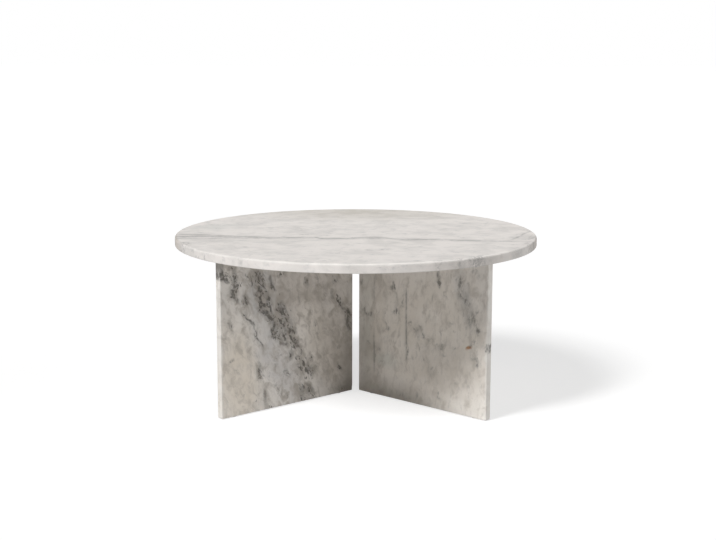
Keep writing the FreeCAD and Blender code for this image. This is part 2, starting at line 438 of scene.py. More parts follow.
@dataclass(frozen=True)
class Vein:
    """A thin wandering line on a slab's face, in millimetres.

    Attributes:
        points: Places on the face, along and up, in the order of the vein's run.
        width: Half its width.
        strength: How strongly it shows.
        run: Direction in which it never turns back.
        fade: Length over which each end fades out.
        steady: Whether it keeps to its line where the stone round it drifts.
    """

    points: tuple[tuple[float, float], ...]
    width: float
    strength: float
    run: Run = Run.UP
    fade: float = 20.0
    steady: bool = False

    # The core and the halo are parts of the vein's width, the halo's depth is a part of its strength, and
    # the room is what the curve's range leaves on each side of the line, in millimetres
    CORE, HALO, HALO_DEPTH = 0.3, 2.4, 0.3
    ROOM = 1.0

    def ends(self) -> tuple[float, float]:
        """Gives the places of the vein's two ends along its run."""
        return self.points[0][self.run.value], self.points[-1][self.run.value]

    def middle(self, sheet: NodeSheet, forward: Feed) -> bpy.types.NodeSocket:
        """Draws the vein's line as a curve over its run.

        Args:
            sheet: Node tree to draw in.
            forward: Place along the run.

        Returns:
            The line's place across the run.
        """
        first, last = self.ends()
        swings = [place[1 - self.run.value] for place in self.points]
        low, high = min(swings) - self.ROOM, max(swings) + self.ROOM
        knots = [
            ((place[self.run.value] - first) / (last - first), (swing - low) / (high - low))
            for place, swing in zip(self.points, swings)
        ]
        curve = sheet.add("ShaderNodeFloatCurve")
        line = curve.mapping.curves[0]
        line.points[0].location, line.points[1].location = knots[0], knots[-1]
        for knot in knots[1:-1]:
            line.points.new(*knot)
        curve.mapping.update()
        sheet.feed(curve.inputs["Value"], sheet.span(forward, first, last, smooth=False))
        return sheet.span(curve.outputs["Value"], 0.0, 1.0, low, high, smooth=False)

    def draw(self, sheet: NodeSheet, point: Feed) -> bpy.types.NodeSocket:
        """Draws the vein.

        Args:
            sheet: Node tree to draw in.
            point: Coordinates on the slab.

        Returns:
            A number that falls from the vein's strength on its line to 0 beside it.
        """
        parts = sheet.add("ShaderNodeSeparateXYZ")
        sheet.feed(parts.inputs[0], point)
        forward, across = parts.outputs[self.run.value], parts.outputs[1 - self.run.value]
        gap = sheet.math("ABSOLUTE", sheet.math("SUBTRACT", across, self.middle(sheet, forward)))
        core = sheet.span(gap, self.width, self.width * self.CORE, 0.0, self.strength)
        halo = sheet.span(gap, self.width * self.HALO, 0.0, 0.0, self.strength * self.HALO_DEPTH)
        shown = sheet.math("MAXIMUM", core, halo)
        first, last = self.ends()
        rising = sheet.span(forward, first, first + self.fade)
        falling = sheet.span(forward, last, last - self.fade)
        return sheet.math("MULTIPLY", shown, sheet.math("MULTIPLY", rising, falling))


@dataclass(frozen=True)
class Arc:
    """A soft band along part of a round slab's rim, in millimetres.

    Attributes:
        radius: Radius of its middle line.
        width: Half its width.
        heading: Direction of its middle as seen from the slab's axis, in degrees.
        reach: Half the angle that it covers, in degrees.
        strength: How strongly it shows at its middle.
    """

    radius: float
    width: float
    heading: float
    reach: float
    strength: float

    CORE = 0.3

    def draw(self, sheet: NodeSheet, point: Feed) -> bpy.types.NodeSocket:
        """Draws the band.

        Args:
            sheet: Node tree to draw in.
            point: Coordinates on the slab.

        Returns:
            A number that eases from the band's strength along its middle to 0 at its edges and ends.
        """
        flat = sheet.vector("MULTIPLY", point, (1.0, 1.0, 0.0))
        distance = sheet.vector("LENGTH", flat, output="Value")
        gap = sheet.math("ABSOLUTE", sheet.math("SUBTRACT", distance, self.radius))
        across = sheet.span(gap, self.width, self.width * self.CORE, 0.0, self.strength)
        heading = math.radians(self.heading)
        aim = (math.cos(heading), math.sin(heading), 0.0)
        facing = sheet.vector("DOT_PRODUCT", sheet.vector("NORMALIZE", flat), aim, output="Value")
        along = sheet.span(facing, math.cos(math.radians(self.reach)), 1.0)
        return sheet.math("MULTIPLY", across, along)


@dataclass(frozen=True)
class Stain:
    """A tinted area of a slab.

    Attributes:
        shape: Where the tint lies.
        colour: Colour of the tint.
    """

    shape: Union[Oval, Arc]
    colour: Colour


def stains(*rows: tuple[Colour, float, float, float, float, float, float]) -> tuple[Stain, ...]:
    """Makes stains of rows that give a colour, along, up, length, width, tilt and strength."""
    return tuple(Stain(Oval(*shape), colour) for colour, *shape in rows)


@dataclass(frozen=True)
class StonePattern:
    """What is drawn on one slab's face.

    Attributes:
        flow: Direction in which flecks and streaks are drawn out, in degrees from along towards up.
        ink: Colour of the marks and veins.
        crowds: Areas in which flecks crowd together and the stone is greyer.
        marks: Single dark marks.
        veins: Thin lines.
        stains: Tinted areas, painted in order; some are painted shade.
        shift: Offset of the slab within the block that it was sawn from, in millimetres.
        glazes: Tinted areas that hide the smudges and streaks under them; some are painted shade, painted
            shadow and painted light.
        rims: Stretches of a round slab's rim with painted highlight and painted shade, which don't drift.
    """

    flow: float
    ink: Colour
    crowds: tuple[Oval, ...]
    marks: tuple[Oval, ...]
    veins: tuple[Vein, ...]
    stains: tuple[Stain, ...]
    shift: tuple[float, float, float]
    glazes: tuple[Stain, ...] = ()
    rims: tuple[Stain, ...] = ()


@dataclass(frozen=True)
class Layer:
    """One layer of noise through a material.

    Attributes:
        scale: Features in one unit of the coordinates, a millimetre in stone and a metre elsewhere.
        low: Noise at which the layer starts to show.
        high: Noise at which it shows in full.
        least: How strongly it shows below its start.
        depth: How strongly it shows in full.
        stretch: Scale along the stone's flow, below 1 where the layer is drawn out.
        detail: Number of octaves.
        roughness: Weight of the finer octaves.
        distortion: How far the noise is drawn out of line.
    """

    scale: float
    low: float = 0.0
    high: float = 1.0
    least: float = 0.0
    depth: float = 1.0
    stretch: float = 1.0
    detail: float = 4.0
    roughness: float = 0.58
    distortion: float = 0.0

    def noise(self, sheet: NodeSheet, grained: Feed) -> bpy.types.NodeSocket:
        """Gives the bare noise.

        Args:
            sheet: Node tree to draw in.
            grained: Coordinates in the material, with X along its flow.

        Returns:
            The noise, about 0.5 at its middle.
        """
        drawn_out = sheet.lay(grained, size=(self.stretch, 1.0, 1.0))
        node = sheet.noise(drawn_out, self.scale, self.detail, self.roughness, self.distortion)
        return node.outputs["Fac"]

    def shown(self, sheet: NodeSheet, level: Feed) -> bpy.types.NodeSocket:
        """Gives the layer's strength, from its least to its depth, at a level of noise."""
        return sheet.span(level, self.low, self.high, self.least, self.depth)

    def draw(self, sheet: NodeSheet, grained: Feed) -> bpy.types.NodeSocket:
        """Gives the layer's strength at a place in the material."""
        return self.shown(sheet, self.noise(sheet, grained))


@dataclass(frozen=True)
class StoneFinish:
    """Honed white marble with grey clouds, smudges, flecks, marks and veins.

    Attributes:
        light: Colour of the clear stone.
        shade: Colour of its clouds.
        earth: Colour of its smudges.
        haze: Grey of the streaks, and of the stone round crowded flecks.
        clouds: Broad soft clouds.
        smudges: Small soft smudges.
        streaks: Fine streaks along the flow.
        specks: Dark flecks, where they crowd.
        threads: Thin dark threads between the flecks.
        wear: Share of a mark that the grain leaves.
        mark_depth: Share of the pattern's ink in its darkest marks.
        mark_start: Heaped strength at which a mark starts to show.
        mark_full: Heaped strength at which a mark is that dark.
        halo_depth: Share of ink in the soft shade round a mark.
        roughness: Lowest and highest roughness.
    """

    light: Colour = (0.86, 0.82, 0.77, 1.0)
    shade: Colour = (0.76, 0.725, 0.68, 1.0)
    earth: Colour = (0.44, 0.398, 0.35, 1.0)
    haze: Colour = (0.44, 0.418, 0.39, 1.0)
    clouds: Layer = Layer(scale=0.012, low=0.36, high=0.66)
    smudges: Layer = Layer(
        scale=0.045, low=0.40, high=0.72, depth=0.85, stretch=0.7, detail=5.0, distortion=0.5
    )
    streaks: Layer = Layer(scale=0.11, low=0.50, high=0.78, depth=0.4, stretch=0.35, detail=5.0)
    specks: Layer = Layer(scale=0.12, low=0.66, high=0.78, stretch=0.45, detail=5.0, distortion=0.25)
    threads: Layer = Layer(
        scale=0.032, low=0.08, high=0.0, depth=0.3, stretch=0.5, detail=5.0, distortion=0.5
    )
    wear: Layer = Layer(scale=0.19, low=0.37, high=0.63, least=0.05, depth=1.15, stretch=0.6, detail=3.0)
    mark_depth: float = 0.78
    mark_start: float = 0.15
    mark_full: float = 0.7
    halo_depth: float = 0.56
    roughness: tuple[float, float] = (0.50, 0.68)

    # The first three layers draw coordinates out of line, by millimetres. The veil greys the stone round
    # flecks, the breaks part the veins, and the grain is the fine grain of the whole surface
    DRIFT = Layer(scale=0.018, depth=18.0, detail=2.0)
    WOBBLE = Layer(scale=0.075, depth=9.0, detail=3.0)
    SPILL = Layer(scale=0.03, depth=34.0, detail=4.0)
    VEIL = Layer(scale=0.03, low=0.30, high=0.66, depth=0.4, stretch=0.6, detail=4.0, distortion=0.4)
    BREAKS = Layer(scale=0.055, low=0.34, high=0.62, least=0.25, stretch=0.45, detail=4.0, roughness=0.7)
    GRAIN = Layer(scale=0.8, low=0.3, high=0.8, depth=0.07, detail=3.0, roughness=0.6)
    STAIN_ON_CLEAR = 0.65
    MARK_SPREAD = 1.6
    MARK_ROUGHENS, MARK_SINKS = 0.3, 0.8
    CROWD_FULL = 0.7
    SPECK_REACH, SMUDGE_REACH = 0.19, 0.08
    NOISE_MIDDLE = 0.5
    SHEEN = 0.25
    BUMP_STRENGTH, BUMP_DEPTH = 0.12, 0.0003

    @staticmethod
    def drifted(sheet: NodeSheet, face: Feed, *layers: Layer) -> Feed:
        """Draws coordinates out of line, so that ovals and veins lose their even edges.

        Args:
            sheet: Node tree to work in.
            face: Coordinates on the slab, in millimetres.
            layers: Noise that draws them out of line, each by half its depth at most.

        Returns:
            The drifted coordinates.
        """
        point = face
        for layer in layers:
            colour = sheet.noise(face, layer.scale, detail=layer.detail).outputs["Color"]
            push = sheet.vector("MULTIPLY_ADD", colour, (layer.depth,) * 3, (-layer.depth / 2,) * 3)
            point = sheet.vector("ADD", point, push)
        return point

    def body(
        self, sheet: NodeSheet, pattern: StonePattern, point: Feed, crowd: Feed, grained: Feed
    ) -> bpy.types.NodeSocket:
        """Colours the stone between its marks and veins.

        Args:
            sheet: Node tree to work in.
            pattern: What is drawn on the slab.
            point: Coordinates on the slab's face.
            crowd: How closely flecks crowd together.
            grained: Coordinates in the block, with X along its flow.

        Returns:
            The colour.
        """
        cloud = self.clouds.draw(sheet, grained)
        tone = sheet.mix(cloud, self.light, self.shade)
        patchy = sheet.span(cloud, 0.0, 1.0, self.STAIN_ON_CLEAR, 1.0)
        # Some stains are painted shade
        for stain in pattern.stains:
            strength = sheet.math("MULTIPLY", stain.shape.draw(sheet, point), patchy)
            tone = sheet.mix(strength, tone, stain.colour)
        veil = self.VEIL.draw(sheet, grained)
        tone = sheet.mix(sheet.math("MULTIPLY", crowd, veil), tone, self.haze)
        smudge = sheet.math("MULTIPLY_ADD", crowd, self.SMUDGE_REACH, self.smudges.noise(sheet, grained))
        tone = sheet.mix(self.smudges.shown(sheet, smudge), tone, self.earth)
        tone = sheet.mix(self.streaks.draw(sheet, grained), tone, self.haze)
        # Some glazes are painted shade, painted shadow and painted light
        for glaze in pattern.glazes:
            tone = sheet.mix(glaze.shape.draw(sheet, point), tone, glaze.colour)
        return tone

    def marks(
        self, sheet: NodeSheet, pattern: StonePattern, face: Feed, point: Feed, crowd: Feed, grained: Feed
    ) -> Feed:
        """Draws the flecks, threads, marks and veins.

        Args:
            sheet: Node tree to work in.
            pattern: What is drawn on the slab.
            face: Coordinates on the slab's face before they drift.
            point: Coordinates on the slab's face.
            crowd: How closely flecks crowd together.
            grained: Coordinates in the block, with X along its flow.

        Returns:
            The share of ink.
        """
        speck = sheet.math("MULTIPLY_ADD", crowd, self.SPECK_REACH, self.specks.noise(sheet, grained))
        fleck = sheet.span(speck, self.specks.low, self.specks.high, 0.0, self.mark_depth)
        off_middle = sheet.math("SUBTRACT", self.threads.noise(sheet, grained), self.NOISE_MIDDLE)
        thread = self.threads.shown(sheet, sheet.math("ABSOLUTE", off_middle))
        thread = sheet.math("MULTIPLY", thread, crowd)
        heap = Oval.heap(sheet, pattern.marks, point, self.MARK_SPREAD)
        heap = sheet.math("MULTIPLY", heap, self.wear.draw(sheet, grained))
        core = sheet.span(heap, self.mark_start, self.mark_full, 0.0, self.mark_depth)
        halo = sheet.span(heap, 0.0, self.mark_full, 0.0, self.halo_depth)
        line = sheet.largest(vein.draw(sheet, face if vein.steady else point) for vein in pattern.veins)
        line = sheet.math("MULTIPLY", line, self.BREAKS.draw(sheet, grained))
        return sheet.largest((fleck, thread, core, halo, line))

    def make(self, name: str, lie: Matrix, pattern: StonePattern) -> bpy.types.Material:
        """Makes the material of one slab.

        Args:
            name: Name of the material.
            lie: Turn from the table's axes to the slab's along, up and through.
            pattern: What is drawn on the slab.

        Returns:
            The material.
        """
        material = bpy.data.materials.new(name)
        sheet = NodeSheet(material)
        face = sheet.lay(sheet.coordinates(), turn=lie.to_euler("XYZ"), size=(MM_PER_M,) * 3)
        point = self.drifted(sheet, face, self.DRIFT, self.WOBBLE)
        block = sheet.lay(point, move=pattern.shift)
        grained = sheet.lay(block, turn=(0.0, 0.0, -math.radians(pattern.flow)))
        spilt = self.drifted(sheet, face, self.SPILL, self.WOBBLE)
        crowd = sheet.span(Oval.heap(sheet, pattern.crowds, spilt), 0.0, self.CROWD_FULL)
        tone = self.body(sheet, pattern, point, crowd, grained)
        # Painted highlight and painted shade along the rim
        for rim in pattern.rims:
            tone = sheet.mix(rim.shape.draw(sheet, face), tone, rim.colour)
        marked = self.marks(sheet, pattern, face, point, crowd, grained)
        tone = sheet.mix(marked, tone, pattern.ink)

        grain = self.GRAIN.noise(sheet, face)
        dimming = sheet.math("MULTIPLY_ADD", grain, self.GRAIN.depth * 2, 1.0 - self.GRAIN.depth)
        level = sheet.add("ShaderNodeCombineColor")
        for socket in level.inputs:
            sheet.feed(socket, dimming)
        tone = sheet.mix(1.0, tone, level.outputs["Color"], blend="MULTIPLY")
        coarse = sheet.math("MULTIPLY_ADD", marked, self.MARK_ROUGHENS, grain)
        rough = sheet.span(coarse, self.GRAIN.low, self.GRAIN.high, *self.roughness)
        height = sheet.math("MULTIPLY_ADD", marked, -self.MARK_SINKS, grain)
        normal = sheet.bump(height, self.BUMP_STRENGTH, self.BUMP_DEPTH)
        sheet.surface(Base_Color=tone, Roughness=rough, Normal=normal, Specular_IOR_Level=self.SHEEN)
        return material


@dataclass(frozen=True)
class MetalFinish:
    """Metal with brushing or turning marks, dull patches and fine scratches.

    Attributes:
        colour: Colour of the clean metal.
        dull: Colour of its dull patches.
        scale: Scale of the marks across and along their direction, in marks per metre.
        roughness: Lowest and highest roughness.
        bump: Strength of the marks.
    """

    colour: Colour
    dull: Colour
    scale: tuple[float, float, float]
    roughness: tuple[float, float]
    bump: float

    PATCHES = Layer(scale=55.0, low=0.4, high=0.68, detail=4.0, roughness=0.6)
    MARKS = Layer(scale=1.0, low=0.35, high=0.7, depth=0.35, detail=3.0, roughness=0.7)
    PATCH_SHARE, WORN_RANGE = 0.6, (0.3, 0.7)
    BUMP_DEPTH = 0.00008

    def make(self, name: str) -> bpy.types.Material:
        """Makes the material.

        Args:
            name: Name of the material.

        Returns:
            The material.
        """
        material = bpy.data.materials.new(name)
        sheet = NodeSheet(material)
        place = sheet.coordinates()
        patch = self.PATCHES.noise(sheet, place)
        mark = self.MARKS.noise(sheet, sheet.lay(place, size=self.scale))
        tone = sheet.mix(self.PATCHES.shown(sheet, patch), self.colour, self.dull)
        tone = sheet.mix(self.MARKS.shown(sheet, mark), tone, self.dull)
        worn = sheet.share(self.PATCH_SHARE, patch, mark)
        rough = sheet.span(worn, *self.WORN_RANGE, *self.roughness)
        normal = sheet.bump(mark, self.bump, self.BUMP_DEPTH)
        sheet.surface(Base_Color=tone, Metallic=1.0, Roughness=rough, Normal=normal)
        return material


@dataclass(frozen=True)
class MouldedFinish:
    """Moulded rubber or plastic with a fine grain, dust and scuffs.

    Attributes:
        colour: Colour of the clean surface.
        dust: Colour of its dusty and scuffed patches.
        roughness: Lowest and highest roughness.
        grain_scale: Grains per metre.
        bump: Strength of the grain.
    """

    colour: Colour
    dust: Colour
    roughness: tuple[float, float]
    grain_scale: float
    bump: float

    PATCHES = Layer(scale=160.0, low=0.42, high=0.7, depth=0.7, detail=5.0, roughness=0.65)
    GRAIN_DETAIL = 2.0
    PATCH_SHARE, WORN_RANGE = 0.5, (0.35, 0.65)
    BUMP_DEPTH = 0.00006

    def make(self, name: str) -> bpy.types.Material:
        """Makes the material.

        Args:
            name: Name of the material.

        Returns:
            The material.
        """
        material = bpy.data.materials.new(name)
        sheet = NodeSheet(material)
        place = sheet.coordinates()
        patch = self.PATCHES.noise(sheet, place)
        grain = sheet.noise(place, self.grain_scale, self.GRAIN_DETAIL).outputs["Fac"]
        tone = sheet.mix(self.PATCHES.shown(sheet, patch), self.colour, self.dust)
        worn = sheet.share(self.PATCH_SHARE, patch, grain)
        rough = sheet.span(worn, *self.WORN_RANGE, *self.roughness)
        normal = sheet.bump(grain, self.bump, self.BUMP_DEPTH)
        sheet.surface(Base_Color=tone, Roughness=rough, Normal=normal)
        return material


BEIGE: Colour = (0.81, 0.735, 0.635, 1.0)
LILAC: Colour = (0.57, 0.555, 0.56, 1.0)
COOL: Colour = (0.50, 0.505, 0.51, 1.0)
GREEN_GREY: Colour = (0.55, 0.575, 0.54, 1.0)
# Brown of the stone's stains, also used as painted shade on the panels' inner ends and upper parts and on
# the right of the top's rim
UMBER_STAIN_AND_SHADE: Colour = (0.36, 0.31, 0.26, 1.0)
# Painted light for the panels' outer ends
PAINTED_END_LIGHT: Colour = (0.80, 0.775, 0.735, 1.0)
# Painted highlight for the top's eased front arris and rim
PAINTED_ARRIS_HIGHLIGHT: Colour = (0.96, 0.92, 0.88, 1.0)
# Painted shade for the panels' feet and inner ends, near the slot
PAINTED_SHADE: Colour = (0.20, 0.175, 0.145, 1.0)
RUST: Colour = (0.42, 0.20, 0.08, 1.0)
# Painted shade for the far half of the top
PAINTED_FAR_SHADE: Colour = (0.55, 0.515, 0.455, 1.0)
SAGE: Colour = (0.70, 0.73, 0.67, 1.0)
# Painted shadow of the top's overhang on a panel's outer end
PAINTED_OVERHANG_SHADOW: Colour = (0.25, 0.235, 0.21, 1.0)

# Painted light on the outer end of a panel, which keeps the end strip pale and even, as a row for stains()
PAINTED_END_LIGHT_ROW = (PAINTED_END_LIGHT, 485, 215, 420, 16, 90, 0.8)

TOP_PATTERN = StonePattern(
    flow=0.0,
    ink=(0.22, 0.215, 0.21, 1.0),
    crowds=ovals(
        (-420, -120, 140, 60, -8, 0.6), (455, -70, 120, 45, 70, 0.6), (-300, -88, 180, 36, -5, 0.6),
        (60, -100, 190, 30, -8, 0.5), (310, -415, 150, 34, 38, 1.1), (440, -265, 90, 34, 60, 0.8),
        (-400, -310, 90, 36, -50, 0.6), (70, -290, 60, 40, 30, 0.5), (110, 135, 90, 40, 10, 0.35),
        (-165, 60, 110, 30, -80, 0.35), (300, 85, 90, 24, 0, 0.3),
    ),
    marks=ovals(
        (-380, -78, 75, 9, 0, 0.8), (-460, -46, 34, 9, 0, 0.6), (-475, -105, 34, 14, 0, 0.6),
        (-430, -115, 34, 8, -10, 0.4), (-290, -85, 46, 9, -5, 0.65), (-230, -108, 55, 8, 0, 0.5),
        (-165, -90, 55, 8, 0, 0.65), (-50, -105, 55, 9, 0, 0.65), (30, -88, 55, 9, 0, 0.55),
        (-8, -92, 20, 8, 90, 0.4), (65, -98, 34, 8, 0, 0.4), (180, -117, 60, 9, 0, 0.55),
        (310, -130, 50, 8, 0, 0.5), (405, -142, 46, 10, -10, 0.4), (295, -78, 16, 12, 0, 0.4),
        (-155, -36, 28, 10, 0, 0.5), (-135, -35, 14, 8, 0, 0.4), (-172, 90, 55, 12, -80, 0.4),
        (-150, 45, 28, 10, -75, 0.5), (-102, 238, 26, 12, 90, 0.45), (80, -288, 20, 16, 60, 0.7),
        (38, -300, 18, 10, 80, 0.55), (-37, -340, 20, 9, 80, 0.5), (-70, -348, 38, 10, 10, 0.35),
        (140, 135, 26, 11, 80, 0.5), (75, 125, 34, 22, 0, 0.35), (252, 85, 22, 14, 70, 0.4),
        (310, 85, 44, 12, 0, 0.3), (-425, 145, 34, 20, 90, 0.4), (388, 210, 28, 7, 80, 0.45),
        (485, 65, 22, 14, 90, 0.45), (425, -195, 20, 16, 0, 0.45), (-290, -255, 20, 8, 110, 0.45),
        (-360, -225, 22, 10, 120, 0.4), (-385, -160, 34, 14, 120, 0.4), (-445, -195, 22, 16, 0, 0.4),
        (-230, -325, 44, 10, 115, 0.35), (-20, 5, 14, 10, 90, 0.35), (-28, 60, 14, 12, 90, 0.3),
        (480, -95, 44, 18, 70, 0.55), (450, -20, 22, 12, 60, 0.35), (-205, -200, 22, 16, 90, 0.3),
        (205, -205, 22, 12, 150, 0.3), (115, -165, 20, 10, 130, 0.35), (211, -453, 14, 9, 30, 0.7),
        (261, -426, 16, 10, 20, 0.8), (306, -396, 22, 12, 50, 0.8), (328, -377, 14, 9, 60, 0.7),
        (420, -268, 34, 16, 60, 0.4), (466, -180, 34, 14, 75, 0.7), (497, -60, 40, 12, 90, 0.5),
        (-455, -210, 40, 14, 110, 0.6), (-496, -65, 30, 12, 90, 0.5),
    ),
    veins=(
        Vein(
            points=(
                (-560, -82), (-440, -76), (-330, -80), (-260, -90), (-190, -93), (-110, -90), (-95, -106),
                (-20, -104), (30, -88), (80, -94), (130, -116), (230, -118), (290, -130), (370, -132),
            ),
            width=19.0, strength=0.6, run=Run.ALONG, fade=50.0, steady=True,
        ),
        Vein(
            points=((270, -127), (330, -131), (400, -138), (450, -147), (530, -152)),
            width=15.0, strength=0.38, run=Run.ALONG, fade=60.0, steady=True,
        ),
        Vein(
            points=((-505, -40), (-440, -46), (-380, -62), (-300, -80), (-220, -106)),
            width=16.0, strength=0.5, run=Run.ALONG, steady=True,
        ),
        Vein(
            points=((-505, -112), (-430, -114), (-340, -106), (-250, -110)),
            width=10.0, strength=0.5, run=Run.ALONG,
        ),
        Vein(points=((420, -120), (455, -60), (480, 10), (505, 60)), width=6.0, strength=0.45),
    ),
    stains=stains(
        # Painted shade: the far half of the top is darker
        (PAINTED_FAR_SHADE, 0, 430, 560, 280, 0, 1.0),
        (GREEN_GREY, -420, 100, 150, 90, 60, 0.4),
    ),
    shift=(300.0, 120.0, 40.0),
    rims=(
        # Painted highlight along the front arris and the rim below it
        Stain(Arc(radius=504.0, width=4.2, heading=296, reach=66, strength=0.48), PAINTED_ARRIS_HIGHLIGHT),
        Stain(Arc(radius=511.0, width=7.0, heading=254, reach=17, strength=0.46), PAINTED_ARRIS_HIGHLIGHT),
        # Painted shade on the right of the rim and at its right tip; the arc at heading 190 darkens the left
        # tip
        Stain(Arc(radius=511.0, width=6.0, heading=306, reach=22, strength=0.28), UMBER_STAIN_AND_SHADE),
        Stain(Arc(radius=509.0, width=9.0, heading=190, reach=16, strength=0.55), UMBER_STAIN_AND_SHADE),
        Stain(Arc(radius=512.0, width=8.0, heading=352, reach=18, strength=0.62), UMBER_STAIN_AND_SHADE),
    ),
)

